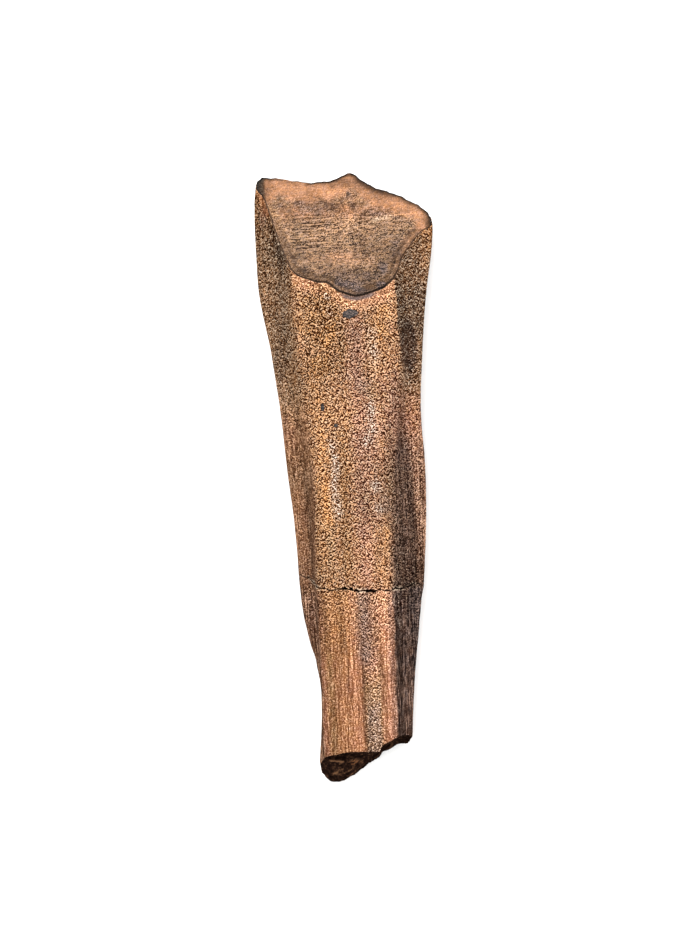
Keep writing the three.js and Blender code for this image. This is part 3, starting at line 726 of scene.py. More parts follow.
def skin_marks(grid):
    """The marks of the skin, whose front has a left flank, a panel in the middle and a right flank."""
    x, y, _ = grid.skin
    s = grid.s * np.ones_like(y)
    side = np.abs(s)
    front = 1 - ramp(side, EDGE + 0.2, EDGE + 0.8)
    wander = 0.05 * np.sin(2.1 * y) + 0.04 * np.sin(5.3 * y + 1)
    soft = 0.1 + 0.45 * window(y, CRACK_Y, 6, 1.5)
    left = ramp(-s + wander, SHOULDER - 0.15, SHOULDER + 0.3) * front
    right = ramp(s + wander, SHOULDER - soft, SHOULDER + 0.05 + soft / 2) * front
    panel = front * (1 - left) * (1 - right)
    crown = ramp(y, CRACK_Y - 0.3, CRACK_Y + 0.3)
    root = 1 - crown
    under = ramp(side, EDGE + 0.5, EDGE + 1.2)
    lower = crown * (1 - ramp(y, 2, 7))
    calm = panel * crown * ramp(-y, 1, 5) * ramp(x, -1, 0)
    rough = panel * spot(x, y, (-1.8, 9.6), (1.4, 2.6), 0.4)
    below_lip = y[-1] - y
    lip = (1 - ramp(below_lip, 0.5, 1.1)) * panel
    halo = (1 - ramp(below_lip, 0.14, 0.3)) * window(x, -0.3, 1.8, 0.3) * panel
    edging = bump(x, -5.4 + 0.32 * (19 - y), 0.28) * window(y, 17.2, 19.2, 0.2) * left
    # Near is the side of the right flank towards the panel; bare leaves out the pale patch near its end
    zones = {
        "front": front, "left": left, "right": right, "flanks": left + right, "panel": panel, "crown": crown,
        "root": root, "under": under, "lip": lip, "below": 1 - lip, "halo": halo, "edging": edging,
        "calm": calm, "rough": rough, "near": 1 - ramp(s, 2.5, 3.0),
        "bare": 1 - spot(x, y, (4.6, 14.2), (1.0, 2.4), 0.5),
    }
    marks = painted(x, y, zones, SKIN_FADES, SKIN_OVALS, SKIN_STROKES)

    for middle, width, start, end, tone, warmth in STREAKS:
        winding = middle + 0.06 * np.sin(1.3 * y + 7 * middle)
        reach = bump(x, winding, width) * window(y, start, end, 0.8) * front
        marks["tone"] += tone * reach
        marks["warmth"] += warmth * reach
    # The flanks darken, most in the valleys beside the shoulders: partly their own colour, partly painted
    # shade of the steep slopes and valleys.
    tone = left_tone(y) + 0.25 * ramp(-s, 3.7, 4.4) - 0.5 * bump(s, -2.75, 0.4) * window(y, 2, 17, 2)
    tone += -0.75 * bump(s, -2.9, 0.4) * window(y, -7, 0, 1.2)
    tone += -0.7 * bump(x, -4.25 + 0.25 * (15.5 - y), 0.3) * window(y, 14, 16.8, 0.4)
    marks["tone"] += left * tone
    marks["tone"] += right * (right_tone(y) - 1.2 * (1 - ramp(s, 3.1, 3.9)) * (1 - ramp(y, 1, 5)) * crown)
    # Specks down the left ridge of the panel: partly painted glints on its top.
    marks["specks"] += 0.62 * panel * bump(x, -1.25 + 0.1 * np.sin(2 * y), 0.24) * window(y, -2.6, 2.4, 0.5)
    blots = [within_sides(x, y, *STONE)] + [inside(x, y, middle, size) for middle, size in BLOTS]
    marks["blot"] = np.where(panel > 0.5, np.max(blots, axis=0), AWAY["blot"])

    smooth = ramp(-y, 7.5, 12.5)
    strip = window(x, 0.0, 1.1, 0.15)
    grain = mix(mix(0.42, 0.14, smooth) + 0.22 * strip, 1.0, crown) * (1 - 0.75 * lip) + 0.25 * rough
    grain *= (1 - 0.9 * edging) * (1 - 0.8 * halo)
    grain *= 1 - (left + right) * (0.2 + 0.38 * lower) - 0.2 * left * lower
    grain *= (1 - 0.5 * right * spot(x, y, *DUSKY)) * (1 - 0.17 * calm)
    marks["pebble"] = grain * (1 - 0.85 * under * crown)
    fibre = mix(0.35, 0.55, smooth) * root * (1 - 0.9 * strip) + (0.4 * right - 0.15 * left) * lower
    fibre += 0.8 * left + 0.6 * right * (1 - ramp(y, 0, 5))
    fibre += 0.8 * panel * bump(x, -1.15, 0.3) * window(y, -7.3, -5.3, 0.5)
    marks["fibre"] = fibre * (1 - under * crown)
    marks["enamel"] = under * ramp(y, KEEL_END - 1, KEEL_END + 2)
    marks["crack"] = np.maximum(0, grid.crack_gap) - 0.05 * grid.crack_share
    marks["rim"] = -np.abs(below_lip)
    return marks


def facet_marks(grid):
    """The marks of the facet: a warm band along the back, a border along the front and a basin inside."""
    x, y, _ = grid.facet
    rim = grid.skin[:2, -1]
    back = (grid.u > EDGE) & (grid.u < POINTS - EDGE)

    def distance(points):
        return np.hypot(x[..., None] - points[0], y[..., None] - points[1]).min(-1)

    from_back = distance(rim[:, back])
    from_rim = distance(rim)
    wobble = 0.12 * np.sin(2.3 * x + 1) + 0.08 * np.sin(5.1 * x)
    width = 1.15 - 0.45 * bump(x, 0.7, 0.8) - 0.2 * ramp(x, 1.5, 4.5) + wobble
    band = 1 - ramp(from_back, width - 0.15, width + 0.55)
    brim = 0.4 + 0.3 * window(x, 0.9, 3.2, 0.5) - 0.16 * bump(x, -2.8, 1.8)
    border = window(from_rim, 0.06, 0.62, 0.07) * (1 - band)
    basin = (1 - band) * ramp(from_rim, 0.5, 0.9)
    low = basin * (1 - ramp(y, 12.9, 13.5))
    worn = basin * (1 - 0.7 * ramp(y, 16.8, 17.5))
    zones = {"band": band, "border": border, "basin": basin, "low": low, "worn": worn}
    marks = painted(x, y, zones, FACET_FADES, FACET_OVALS, FACET_STROKES)

    away = np.hypot(x - STAR[0], y - STAR[1])
    marks["rays"] = bump(away, 0.9, 0.9)
    # Lighter round the worn-through middle; near black along the back rim, partly painted shade where the rim
    # turns away.
    tone = 0.6 * np.exp(-away / 0.5) - 0.7 * (1 - ramp(from_back, 0, brim * 1.6))
    tone += -2.4 * (1 - ramp(from_back, 0.02, brim * 0.7))
    left, right = window(x, -1.3, 0.2, 0.2) * (y < 13), window(x, 3.1, 4.8, 0.2) * (y < 16)
    tone += 0.9 * bump(from_rim, 0.27, 0.05) * (left + right)
    tone += -1.3 * (1 - ramp(from_rim, 0.12, 0.22)) * window(x, -0.5, 2.6, 0.3) * (y < 13)
    corners = (window(x, -3.8, -1.0, 0.4) + window(x, 3.0, 4.8, 0.2)) * (y < 15)
    marks["tone"] += tone - 0.5 * bump(from_rim, 0.42, 0.07) * (1 - band) * corners
    marks["rim"] = from_rim * (1 + 0.8 * ramp(y, 12.4, 13.6))
    return marks


def break_marks(grid):
    """The marks of the break."""
    x, y, _ = grid.break_
    return painted(x, y, {}, BREAK_FADES, BREAK_OVALS, BREAK_STROKES)


# ---- Node trees ----

GOLDEN = (1.06, 0.975, 0.85)
GREYISH = (0.96, 0.975, 1.08)


def operator(operation, swapped=False):
    """A Math node as a Python operator, swapped where the wire stands on the right."""

    def act(wire, *others):
        values = (*others, wire) if swapped else (wire, *others)
        return wire.board.add("ShaderNodeMath", {"operation": operation}, *values)

    return act


class Wire:
    """A socket's value on its way through a node tree. Sums of wires and numbers add Math nodes."""

    def __init__(self, board, socket):
        self.board = board
        self.socket = socket

    __add__, __radd__ = operator("ADD"), operator("ADD", True)
    __sub__, __rsub__ = operator("SUBTRACT"), operator("SUBTRACT", True)
    __mul__, __rmul__ = operator("MULTIPLY"), operator("MULTIPLY", True)
    __rpow__ = operator("POWER", True)
    at_least, at_most, size = operator("MAXIMUM"), operator("MINIMUM"), operator("ABSOLUTE")

    def __neg__(self):
        return self * -1.0

    def ramp(self, start, end):
        """A smooth step from 0 at start to 1 at end."""
        settings = {"interpolation_type": "SMOOTHSTEP"}
        return self.board.add("ShaderNodeMapRange", settings, self, start, end, 0.0, 1.0)


class Board:
    """A node tree and the one way that nodes are put on it."""

    def __init__(self, tree):
        self.tree = tree
        tree.nodes.clear()

    def add(self, kind, settings=None, *values, out=None, **named):
        """Adds a node: its settings first, then values or wires for its sockets in order or by name."""
        node = self.tree.nodes.new(kind)
        for name, value in (settings or {}).items():
            setattr(node, name, value)
        sockets = [socket for socket in node.inputs if socket.enabled]
        pairs = list(zip(sockets, values))
        pairs += [(self.named(sockets, name), value) for name, value in named.items()]
        for socket, value in pairs:
            self.put(socket, value)
        outputs = [socket for socket in node.outputs if socket.enabled]
        if not outputs:
            return node
        return Wire(self, self.named(outputs, out) if out else outputs[0])

    @staticmethod
    def named(sockets, name):
        plain = name.replace("_", " ").lower()
        return next(socket for socket in sockets if socket.name.lower() == plain)

    def put(self, socket, value):
        """Links a wire to a socket, or sets the socket's own value; a plain colour is opaque."""
        if isinstance(value, Wire):
            self.tree.links.new(value.socket, socket)
        elif value is not None:
            opaque = socket.type == "RGBA" and len(value) == 3
            socket.default_value = (*value, 1.0) if opaque else value

    def mark(self, name):
        """One of the weights stored on the surface."""
        if self.tree.bl_idname == "ShaderNodeTree":
            return self.add("ShaderNodeAttribute", {"attribute_name": name}, out="Fac")
        return self.add("GeometryNodeInputNamedAttribute", {"data_type": "FLOAT"}, name)

    def vector(self, operation, *values, **named):
        return self.add("ShaderNodeVectorMath", {"operation": operation}, *values, **named)

    def place(self):
        """The place on the tooth, in mm."""
        return self.scaled(self.add("ShaderNodeTexCoord", out="Object"), 1 / MM)

    def scaled(self, vector, factor):
        """A vector or a colour times a number."""
        return self.vector("SCALE", vector, Scale=factor)

    def stretched(self, place, scales):
        """The place in mm, scaled along each axis: a scale under 1 draws the pattern out."""
        return self.vector("MULTIPLY", place, scales)

    def noise(self, place, scale, detail=2.0, roughness=0.5, distortion=0.0):
        """Cloudy noise from -1 to 1, scale being grains to the millimetre."""
        cloud = self.add("ShaderNodeTexNoise", None, place, Scale=scale, Detail=detail, Roughness=roughness,
                         Distortion=distortion)
        return cloud * 2.0 - 1.0

    def lit(self, place, shift, *grain, folded=False):
        """Noise as if lit from one side, in painted light and painted shade: how far it falls from each place
        to one a little along.
        """
        here, there = (self.noise(at, *grain) for at in (place, self.vector("ADD", place, shift)))
        return here.size() - there.size() if folded else here - there

    def blend(self, factor, a, b):
        """Colour a, turning into b as the factor goes from 0 to 1."""
        return self.add("ShaderNodeMix", {"data_type": "RGBA"}, factor, a, b)

    def hue(self, shade, dark, plain, light):
        """A colour, from painted shade in its crevices at shade -1 to painted highlight on its highest grains
        at 1.
        """
        return self.blend(shade, self.blend(shade + 1.0, dark, plain), light)

    def drifted(self, base, place, reach):
        """A colour that drifts between golden and greyish from grain to grain."""
        drift = self.noise(place, 4.0, 2.0, 0.6) * reach + 0.5
        return self.vector("MULTIPLY", base, self.blend(drift, GREYISH, GOLDEN))


# ---- Settings that a user would change ----


def tint(*levels):
    """A colour from its everyday 0 to 255 red, green and blue, made linear."""
    shares = [level / 255 for level in levels]
    return [share / 12.92 if share <= 0.04045 else ((share + 0.055) / 1.055) ** 2.4 for share in shares]


def length(name, millimetres, description):
    """The setting of a size."""
    return bpy.props.FloatProperty(
        name=name, description=description, default=millimetres * MM, min=0.0, precision=5, unit="LENGTH",
        subtype="DISTANCE",
    )


def colour(name, default, description):
    """The setting of a colour, given from 0 to 255."""
    return bpy.props.FloatVectorProperty(
        name=name, description=description, default=tint(*default), min=0.0, max=1.0, size=3, subtype="COLOR",
    )


def power(name, default, description, unit="POWER"):
    """The setting of a light."""
    return bpy.props.FloatProperty(name=name, description=description, default=default, min=0.0, unit=unit)


class FossilRelief(bpy.types.PropertyGroup):
    """Sizes of the small relief on the tooth."""

    crack_width: length("Crack width", 0.06, "Width of the mended crack where it is closed")
    gap_width: length("Gap width", 0.17, "Width of the crack where it stands open")
    gap_depth: length("Gap depth", 0.75, "How deep the open stretches of the crack are")
    rim_wear: length("Rim wear", 0.2, "How far the sharp rims are rounded off")
    pebble_height: length("Pebble height", 0.03, "Height of the leathery grain on the skin")
    fibre_height: length("Fibre height", 0.035, "Height of the lengthwise fibres on the root and sides")
    streak_height: length("Streak height", 0.014, "Height of the crosswise wear lines on the facet")
    crag_height: length("Crag height", 0.1, "Height of the rough layers on the break")
    seed: bpy.props.IntProperty(name="Seed", description="Picks one pattern of grain", default=7, min=0)


class FossilColours(bpy.types.PropertyGroup):
    """Colours of the fossil. Those that come in three tones are added below."""

    stone: colour("Stone", (52, 50, 50), "The grey blots")
    # Cream also colours the painted glints and highlight on the highest grains.
    cream_and_glint: colour("Cream", (204, 184, 160), "Glints on the highest grains and the crack's pale crumbs")
    # Chalk also whitens the painted glints down the front's ridges.
    chalk: colour("Chalk", (212, 198, 184), "Whitish grains")
    soot: colour("Soot", (8, 4, 3), "The depth of the crack and the break")
    core: colour("Core", (34, 21, 16), "The broken root's inside")
    core_light: colour("Core, light", (104, 74, 52), "Edges of the broken root's layers")
    enamel: colour("Enamel", (70, 44, 28), "The enamelled face underneath")


# Colours in three tones each: painted shade in the crevices, the plain surface, and painted highlight on the
# highest grains
TONES = {"_dark": "Crevices of the", "": "The", "_light": "High grains of the"}
FAMILIES = {
    "ochre": ("brown skin", (36, 12, 0), (104, 65, 38), (197, 152, 113)),
    "mauve": ("pinkish skin", (40, 17, 7), (105, 64, 45), (195, 149, 123)),
    "orange": ("orange skin", (41, 14, 2), (120, 70, 37), (208, 154, 97)),
    "olive": ("greenish stains", (36, 21, 8), (94, 65, 38), (194, 154, 114)),
    "slate": ("blue-grey stains", (8, 4, 3), (70, 58, 54), (178, 152, 140)),
    "worn": ("worn facet", (46, 30, 19), (116, 87, 65), (200, 163, 130)),
    "amber": ("warm band of the facet", (98, 68, 47), (152, 110, 81), (200, 151, 116)),
}
for name, (what, *defaults) in FAMILIES.items():
    for (tone, where), default in zip(TONES.items(), defaults):
        label = (name + tone).replace("_", ", ").capitalize()
        FossilColours.__annotations__[name + tone] = colour(label, default, f"{where} {what}")


class FossilStage(bpy.types.PropertyGroup):
    """The floor and the light."""

    floor: colour("Floor", (244, 244, 243), "The plain floor")
    key: power("Key light", 1.1, "Power of the small light above the far end")
    soft: power("Soft light", 3.4, "Power of the wide light overhead")
    sky: power("Sky", 0.76, "Strength of the even light from all round", "NONE")


# ---- The relief ----

# Stretch of the patterns along each axis
EVEN = (1.0, 1.0, 1.0)
LENGTHWISE = (1.0, 0.09, 0.7)
CROSSWISE = (0.35, 1.0, 1.0)
UPRIGHT = (1.0, 1.0, 0.5)
BANDED = (1.0, 0.06, 0.7)
RULED = (0.1, 1.0, 1.0)

SKIN, FACET, BREAK = range(3)  # regions of the surface, numbered in the order of their finishes

# What is raised: stretch, grains to the millimetre, detail, roughness, distortion, share in the shading
RAISED = {
    "pebble": (EVEN, 3.4, 3.0, 0.6, 0.5, 0.8),
    "fibre": (LENGTHWISE, 3.6, 3.0, 0.6, 0.0, 0.8),
    "streak": (CROSSWISE, 3.2, 3.0, 0.6, 0.0, 1.0),
    "crag": (EVEN, 2.0, 4.0, 0.65, 1.0, 1.0),
}
SEED_STEP = 31.0  # how far each seed moves the patterns, in mm


def relief_tree(finishes):
    """Raises the patterns by the surface's own marks, and sets the finish of each region."""
    tree = bpy.data.node_groups.new("Fossil relief", "GeometryNodeTree")
    board = Board(tree)
    heights = {name: f"{name.capitalize()} height" for name in RAISED}
    inputs = {"Geometry": "Geometry", **dict.fromkeys(heights.values(), "Float"), "Seed": "Int"}
    for name, kind in inputs.items():
        tree.interface.new_socket(name=name, in_out="INPUT", socket_type="NodeSocket" + kind)
    tree.interface.new_socket(name="Geometry", in_out="OUTPUT", socket_type="NodeSocketGeometry")
    given = tree.nodes.new("NodeGroupInput")
    given = {socket.name: Wire(board, socket) for socket in given.outputs if socket.name}

    place = board.scaled(board.add("GeometryNodeInputPosition"), 1 / MM)
    shift = board.add("ShaderNodeCombineXYZ", None, given["Seed"] * SEED_STEP, 0.0, 0.0)
    place = board.vector("ADD", place, shift)
    height = relief = 0.0
    for name, (stretch, *grain, share) in RAISED.items():
        lumps = board.noise(board.stretched(place, stretch), *grain) * board.mark(name)
        height = lumps * given[heights[name]] + height
        relief = lumps * share + relief

    offset = board.scaled(board.add("GeometryNodeInputNormal"), height)
    shape = board.add("GeometryNodeStoreNamedAttribute", {"data_type": "FLOAT", "domain": "POINT"},
                      given["Geometry"], None, "relief", relief)
    shape = board.add("GeometryNodeSetPosition", None, shape, Offset=offset)
    shape = board.add("GeometryNodeRealizeInstances", None, shape)
    region = board.add("GeometryNodeInputNamedAttribute", {"data_type": "INT"}, "region")
    for number, material in enumerate(finishes):
        here = board.add("FunctionNodeCompare", {"data_type": "INT", "operation": "EQUAL"}, region, number)
        shape = board.add("GeometryNodeSetMaterial", None, shape, here, material)
    board.add("NodeGroupOutput", None, shape)
    return tree


# ---- The finishes ----


def family(board, shade, colours, name):
    """One of the fossil's colours in its three tones."""
    return board.hue(shade, *(getattr(colours, name + tone) for tone in TONES))


def finish(name):
    """A new material and its board."""
    material = bpy.data.materials.new(name)
    material.use_nodes = True
    return material, Board(material.node_tree)


def close(board, base, roughness, height, depth, gloss, glaze=0.0):
    """Joins the colour, the roughness and the fine relief in one surface, glossy where it is glazed."""
    normal = board.add("ShaderNodeBump", None, 1.0, depth * MM, Height=height)
    surface = board.add("ShaderNodeBsdfPrincipled", None, Base_Color=base, Roughness=roughness, Normal=normal,
                        Specular_IOR_Level=gloss, Coat_Weight=glaze, Coat_Roughness=0.25)
    board.add("ShaderNodeOutputMaterial", None, surface)


def skin_finish(colours):
    """Leathery skin: grains and threads in painted light and shade, over strips of ochre, mauve and orange,
    stains, blots, specks and painted glints.
    """
    material, board = finish("fossil_skin")
    place = board.place()
    relief, pebble, fibre = board.mark("relief"), board.mark("pebble"), board.mark("fibre")
    upright = board.stretched(place, UPRIGHT)
    # The grain, the folds and the threads are noise lit from one side: painted light and shade of their
    # relief.
    grain = (board.lit(upright, (0.02, -0.073, 0.0), 5.0, 1.0, 0.5, 1.0, folded=True) * 1.45
             + board.lit(upright, (0.073, 0.02, 0.0), 4.5, 1.0, 0.5, 1.0, folded=True) * 1.3
             + board.noise(upright, 14.0, 1.0, 0.8, 0.5) * 0.18)
    fold = board.lit(upright, (0.03, -0.09, 0.0), 3.6, 1.0, 0.5, 1.0)
    mottle = board.noise(place, 2.8, 2.0, 0.6)
    band = board.noise(board.stretched(place, BANDED), 1.8)
    thread = board.lit(board.stretched(place, LENGTHWISE), (0.06, 0.004, 0.0), 6.0, 2.0, 0.7, 0.3)
    cloud = board.noise(place, 1.6)
    broad = board.noise(place, 0.4)
    # The winding crevices are darkened in colour, as painted shade, and sunk by the bump.
    crevice = 1.0 - board.noise(place, 2.6, 1.0, 0.5, 1.5).size().ramp(0.0, 0.14)
    crevice = crevice * (board.mark("wrinkle") + pebble * 0.35)
    # Shade, and with it the colour, runs from painted shade in the crevices and low places to painted
    # highlight on the highest grains.
    shade = (grain * 5.8 + fold * 1.8 + mottle * 0.5) * pebble + thread * fibre * 2.0 + relief * 0.3 - crevice

    warmth = board.mark("warmth") * 1.15 + cloud * 0.5 + broad * 0.35 + mottle * 0.8
    olive = board.mark("olive") * (cloud * 0.8 + 1.0)
    stain = board.mark("slate") * (cloud * 0.6 + 1.0)
    base = family(board, shade, colours, "ochre")
    for share, name in ((-warmth, "mauve"), (warmth, "orange"), (olive, "olive"), (stain, "slate")):
        base = board.blend(share, base, family(board, shade, colours, name))
    tone = board.mark("tone") + broad * 0.3 + cloud * 0.12 + band * (fibre * 0.45 + 0.12)
    tone = tone + board.noise(place, 2.0, 2.0, 0.7, 0.5) * board.mark("mottle") * 1.1
    base = board.drifted(board.scaled(base, 2.0 ** tone), place, 0.9)

    # Chalk on the highest grains where there are specks: whitish grains, and partly painted glints down the
    # ridges.
    pale = (board.mark("specks") * (cloud * 1.5 + 1.6)).at_most(1.0) * (shade - 0.6).ramp(0.0, 0.8)
    base = board.blend(pale, base, colours.chalk)
    # Painted glints and a painted highlight on the highest grains, in cream.
    glint_and_gold_grain = (board.noise(place, 5.0, 2.0, 0.6) - 0.42).ramp(0.0, 0.2) * shade.ramp(0.3, 1.0)
    painted_highlight = (shade - 1.4).ramp(0.0, 1.0) * 0.4
    base = board.blend((glint_and_gold_grain * 0.75).at_least(painted_highlight), base, colours.cream_and_glint)
    blot = board.mark("blot") + board.noise(place, 4.0, 2.0, 0.6) * 0.12
    stone = board.hue(mottle * 0.5 + grain * 0.5 - 0.1, colours.soot, colours.stone, colours.slate_light)
    base = board.blend(blot.ramp(-0.06, 0.06), base, stone)
    under = board.mark("enamel")
    glaze = broad * 0.6 + thread * 0.3 + relief * 0.4
    glaze = board.hue(glaze, colours.ochre_dark, colours.enamel, colours.ochre)
    base = board.blend(under * 0.85, base, glaze)
    gap = board.mark("crack")
    crumbs = gap.ramp(0.01, 0.04) * (1.0 - gap.ramp(0.05, 0.14)) * (grain * 3.0 + cloud + 0.3).ramp(0.0, 0.5)
    base = board.blend(crumbs * board.mark("chalk"), base, colours.cream_and_glint)
    base = board.blend(1.0 - gap.ramp(-0.03, 0.03), base, colours.soot)
    roughness = (0.45 - grain * 0.12 - under * 0.16).at_least(0.2)
    height = grain * pebble + thread * fibre * 0.5 - crevice * 0.5
    close(board, base, roughness, height, 0.03, 0.0, under * 0.5)
    return material


def facet_finish(colours):
    """The worn facet: crosswise polished lines in painted light and shade, rays round its middle, painted
    glints and a thin dark line along its rim.
    """
    material, board = finish("worn_facet")
    place = board.place()
    relief, streak = board.mark("relief"), board.mark("streak")
    # Lines, grain and ruled lines are noise lit from one side: painted light and shade of the polished
    # relief.
    lines = board.lit(board.stretched(place, CROSSWISE), (0.006, -0.06, 0.0), 6.5, 2.0, 0.7, 0.5)
    grain = board.lit(place, (0.045, -0.05, 0.0), 6.0, 2.0, 0.6, 0.8, folded=True) * 3.0
    grain = grain + board.noise(place, 13.0, 1.0, 0.8) * 0.7
    cloud = board.noise(place, 1.1, 3.0)
    mottle = board.noise(place, 1.7, 2.0, 0.6, 0.5) * board.mark("mottle")
    ruled = board.lit(board.stretched(place, RULED), (0.0, -0.05, 0.0), 5.0, 2.0, 0.6, 0.3)
    ruled = ruled * board.mark("ruled")
    from_star = board.stretched(board.vector("SUBTRACT", place, (*STAR, 0.0)), (1.0, 1.0, 0.0))
    rays = board.noise(board.vector("NORMALIZE", from_star), 5.0, 2.0, 0.7) * board.mark("rays")
    shade = (lines * (streak * 3.9 + 0.5) + ruled * 7.0 + grain * (streak * 3.4 + 0.6)
             + relief * 0.3 + rays * 3.6 + cloud * 0.4)

    warmth = board.mark("warmth") + cloud * 0.4 + mottle * 0.8
    stain = board.mark("slate") * (cloud * 0.8 + 1.0)
    base = family(board, shade, colours, "worn")
    for share, name in ((warmth, "amber"), (stain, "slate")):
        base = board.blend(share, base, family(board, shade, colours, name))
    base = board.scaled(base, 2.0 ** (board.mark("tone") + cloud * 0.45 + mottle * 0.9))
    base = board.drifted(base, place, 2.0)
    base = board.blend(board.mark("specks") * shade.ramp(0.0, 0.8), base, colours.cream_and_glint)
    # Painted glints on the highest grains of the worn lines, in cream.
    glint_and_gold_grain = (board.noise(place, 4.0, 2.0, 0.6) - 0.3).ramp(0.0, 0.25) * (shade - 0.5).ramp(0.0, 0.8)
    base = board.blend(glint_and_gold_grain * streak * 0.6, base, colours.cream_and_glint)

    ragged = board.mark("rim") + board.noise(place, 2.5, 3.0) * 0.06
    line = ragged.ramp(-0.01, 0.03) * (1.0 - ragged.ramp(0.14, 0.21))
    base = board.scaled(base, 1.0 - line * 0.8)
    # A pale edge along the rim: partly chipping, partly painted highlight on the rounded rim.
    chips = (1.0 - ragged.ramp(0.0, 0.04)) * (cloud + grain * 2.0).ramp(-0.2, 0.4)
    base = board.blend(chips * 0.4, base, colours.mauve_light)
    roughness = (0.4 - lines * 0.08).at_least(0.2)
    close(board, base, roughness, grain * 0.3 + lines * streak * 0.6, 0.02, 0.03)
    return material


def break_finish(colours):
    """The broken root: near black, in craggy layers with pale edges and a few golden grains."""
    material, board = finish("broken_root")
    place = board.place()
    grain = board.noise(place, 6.0, 3.0, 0.7)
    flake = board.noise(board.stretched(place, LENGTHWISE), 3.0, 3.0, 0.6, 0.6)
    edge = board.mark("chalk") * (flake * 0.8 + 1.0)
    shade = grain * 1.4 + flake * 1.5 + board.mark("relief") * 0.9 + edge * 1.6 - 0.25
    base = board.hue(shade, colours.soot, colours.core, colours.core_light)
    base = board.scaled(base, 2.0 ** board.mark("tone"))
    # Golden grains in the break, its own colour.
    glint_and_gold_grain = (board.mark("specks") + grain * 1.6 + flake - 0.9).ramp(0.0, 0.5)
    base = board.blend(glint_and_gold_grain * 0.7, base, colours.orange)
    close(board, base, 0.42 - grain * 0.1, grain * 0.5 + flake, 0.08, 0.0)
    return material


def plain_finish(name, value, roughness):
    """A finish of one colour."""
    material, board = finish(name)
    surface = board.add("ShaderNodeBsdfPrincipled", None, Base_Color=value, Roughness=roughness)
    board.add("ShaderNodeOutputMaterial", None, surface)
    return material


# ---- The tooth's mesh ----


def tooth_mesh(look):
    """The closed mesh of the tooth in metres, with its marks and regions stored on it."""
    grid = Grid(look)
    points = np.concatenate((grid.break_, grid.skin, grid.facet), axis=1)
    marks = (break_marks(grid), skin_marks(grid), facet_marks(grid))
    rows, columns = points.shape[1:]

    index = np.zeros((rows, columns), int)
    index[1:-1] = 1 + np.arange((rows - 2) * columns).reshape(rows - 2, columns)
    index[-1] = index[-2, -1] + 1

    def flat(values):
        return np.concatenate([values[0, :1], values[1:-1].ravel(), values[-1, :1]])

    place = np.stack([flat(axis) for axis in points], axis=1)
    place[:, 2] = np.maximum(0, place[:, 2] - REST_CUT)
    place = place * MM
    cad_low, cad_high = np.array(TOOTH_LOW), np.array(TOOTH_HIGH)
    place += (cad_low + cad_high - place.min(0) - place.max(0)) / 2
    place[:, 2] += cad_low[2] - place[:, 2].min()

    after = np.roll(index, -1, axis=1)
    faces = np.stack([index[:-1], after[:-1], after[1:], index[1:]], axis=-1).reshape(-1, 4)
    faces = [list(dict.fromkeys(face)) for face in faces.tolist()]
    bands = [grid.break_.shape[1], grid.skin.shape[1] - 1, grid.facet.shape[1]]
    region = np.repeat(np.repeat([BREAK, SKIN, FACET], bands), columns)

    mesh = bpy.data.meshes.new("fossil_tooth")
    mesh.from_pydata(place.tolist(), [], faces)
    mesh.update()
    mesh.shade_smooth()
    for name in MARKS:
        values = flat(np.concatenate([part[name] for part in marks])).astype(np.float32)
        mesh.attributes.new(name, "FLOAT", "POINT").data.foreach_set("value", values)
    mesh.attributes.new("region", "INT", "FACE").data.foreach_set("value", region.astype(np.int32))
    return mesh


def with_relief(mesh, look, colours):
    """Runs the relief tree over the mesh and returns the result as a plain mesh inside the solid's box."""
    tree = relief_tree([skin_finish(colours), facet_finish(colours), break_finish(colours)])
    carrier = bpy.data.objects.new("relief_carrier", mesh)
    bpy.context.collection.objects.link(carrier)
    modifier = carrier.modifiers.new("Relief", "NODES")
    modifier.node_group = tree
    for socket in tree.interface.items_tree:
        setting = socket.name.lower().replace(" ", "_")
        if socket.in_out == "INPUT" and hasattr(look, setting):
            modifier[socket.identifier] = getattr(look, setting)
    graph = bpy.context.evaluated_depsgraph_get()
    result = bpy.data.meshes.new_from_object(carrier.evaluated_get(graph), preserve_all_data_layers=True,
                                             depsgraph=graph)
    carrier.modifiers.remove(modifier)
    bpy.data.objects.remove(carrier)
    place = np.empty(len(result.vertices) * 3)
    result.vertices.foreach_get("co", place)
    place = np.clip(place.reshape(-1, 3), TOOTH_LOW, TOOTH_HIGH)
    result.vertices.foreach_set("co", place.ravel())
    result.name = "fossil_tooth"
    result.update()
    return result


# ---- Operators ----


class FOSSIL_OT_make_tooth(bpy.types.Operator):
    """Make the fossil tooth, with its relief and its finishes"""

    bl_idname = "fossil.make_tooth"
    bl_label = "Make the tooth"

    def execute(self, context):
        look = context.scene.fossil_relief
        mesh = with_relief(tooth_mesh(look), look, context.scene.fossil_colours)
        if not mesh.polygons:
            raise RuntimeError("the tooth came out empty")
        tooth = bpy.data.objects.new("fossil_tooth", mesh)
        context.collection.objects.link(tooth)
        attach(tooth, "root")
        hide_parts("tooth")
        return {"FINISHED"}


CAMERA_HEIGHT = 0.26
CAMERA_AIM = (-0.000282, 0.000764)  # the point under the camera, beside the middle of the tooth
CAMERA_TURN = math.radians(-2.66)
VIEW_WIDTH = 0.04583  # width of the picture, in metres, at VIEW_LEVEL above the floor
VIEW_LEVEL = 0.003
SENSOR = 36.0
FLOOR_SIZE = 1.5
KEY_PLACE, KEY_SIZE = (-0.06, 0.15, 0.38), 0.08
SOFT_PLACE, SOFT_SIZE = (0.0, 0.05, 0.5), 0.5


def add_light(name, energy, place, side):
    """A square light at a place, aimed at the tooth."""
    data = bpy.data.lights.new(name, "AREA")
    data.energy = energy
    data.size = side
    light = bpy.data.objects.new(name, data)
    light.location = place
    light.rotation_euler = (-light.location).to_track_quat("-Z", "Y").to_euler()
    bpy.context.collection.objects.link(light)


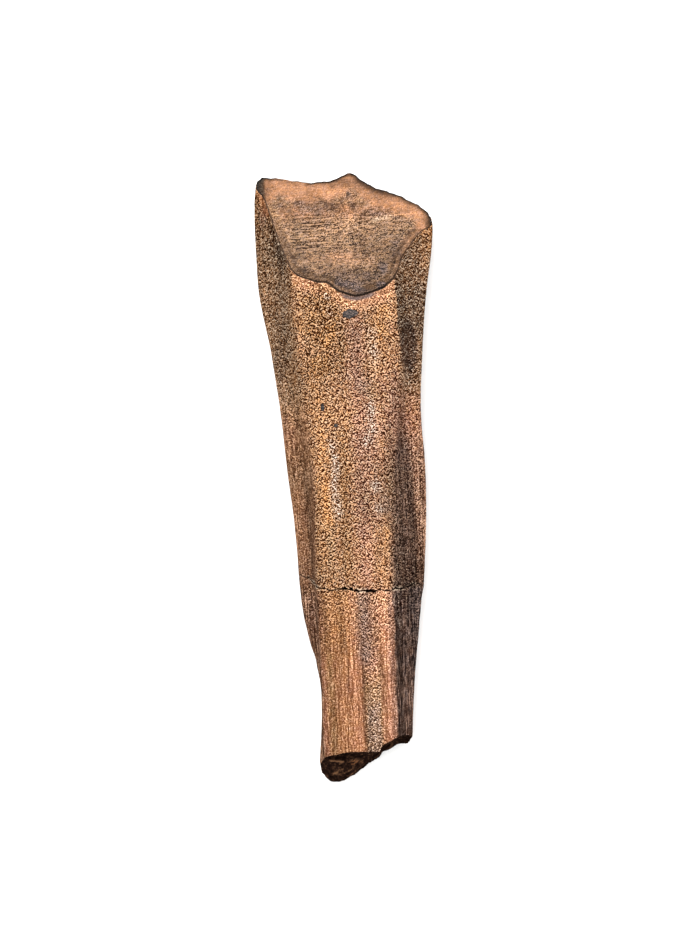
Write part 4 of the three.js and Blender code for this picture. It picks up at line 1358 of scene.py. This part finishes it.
class FOSSIL_OT_set_stage(bpy.types.Operator):
    """Lay the floor, hang the lights and point the camera straight down at the tooth"""

    bl_idname = "fossil.set_stage"
    bl_label = "Set the stage"

    def execute(self, context):
        stage = context.scene.fossil_stage
        half = FLOOR_SIZE / 2
        corners = [(-half, -half, 0), (half, -half, 0), (half, half, 0), (-half, half, 0)]
        mesh = bpy.data.meshes.new("floor")
        mesh.from_pydata(corners, [], [(0, 1, 2, 3)])
        mesh.materials.append(plain_finish("pale_floor", stage.floor, 0.9))
        floor = bpy.data.objects.new("floor", mesh)
        context.collection.objects.link(floor)

        add_light("key", stage.key, KEY_PLACE, KEY_SIZE)
        add_light("soft", stage.soft, SOFT_PLACE, SOFT_SIZE)
        world = bpy.data.worlds.new("studio")
        world.use_nodes = True
        sky = world.node_tree.nodes["Background"].inputs
        sky["Strength"].default_value = stage.sky
        sky["Color"].default_value = (1.0, 1.0, 1.0, 1.0)
        context.scene.world = world
        context.scene.view_settings.view_transform = "Standard"

        data = bpy.data.cameras.new("camera")
        data.sensor_fit = "HORIZONTAL"
        data.sensor_width = SENSOR
        data.lens = SENSOR * (CAMERA_HEIGHT - VIEW_LEVEL) / VIEW_WIDTH
        data.clip_start = 0.01
        camera = bpy.data.objects.new("camera", data)
        camera.location = (*CAMERA_AIM, CAMERA_HEIGHT)
        camera.rotation_euler = (0.0, 0.0, CAMERA_TURN)
        context.collection.objects.link(camera)
        context.scene.camera = camera
        return {"FINISHED"}


class FOSSIL_PT_tooth(bpy.types.Panel):
    """Settings of the fossil tooth and its stage"""

    bl_label = "Fossil tooth"
    bl_idname = "FOSSIL_PT_tooth"
    bl_space_type = "VIEW_3D"
    bl_region_type = "UI"
    bl_category = "Fossil"

    def draw(self, context):
        operators = (None, "fossil.make_tooth", "fossil.set_stage")
        for owner, operator_name in zip(GROUPS, operators):
            box = self.layout.box()
            settings = getattr(context.scene, owner)
            for name in settings.bl_rna.properties.keys():
                if name not in {"rna_type", "name"}:
                    box.prop(settings, name)
            if operator_name:
                box.operator(operator_name)


GROUPS = {"fossil_relief": FossilRelief, "fossil_colours": FossilColours, "fossil_stage": FossilStage}
CLASSES = (*GROUPS.values(), FOSSIL_OT_make_tooth, FOSSIL_OT_set_stage, FOSSIL_PT_tooth)


def register():
    for cls in CLASSES:
        bpy.utils.register_class(cls)
    for name, group in GROUPS.items():
        setattr(bpy.types.Scene, name, bpy.props.PointerProperty(type=group))


def unregister():
    for name in GROUPS:
        delattr(bpy.types.Scene, name)
    for cls in reversed(CLASSES):
        bpy.utils.unregister_class(cls)


def main():
    """Makes the tooth and its stage."""
    register()
    bpy.ops.fossil.make_tooth()
    bpy.ops.fossil.set_stage()


if __name__ == "__main__":
    main()
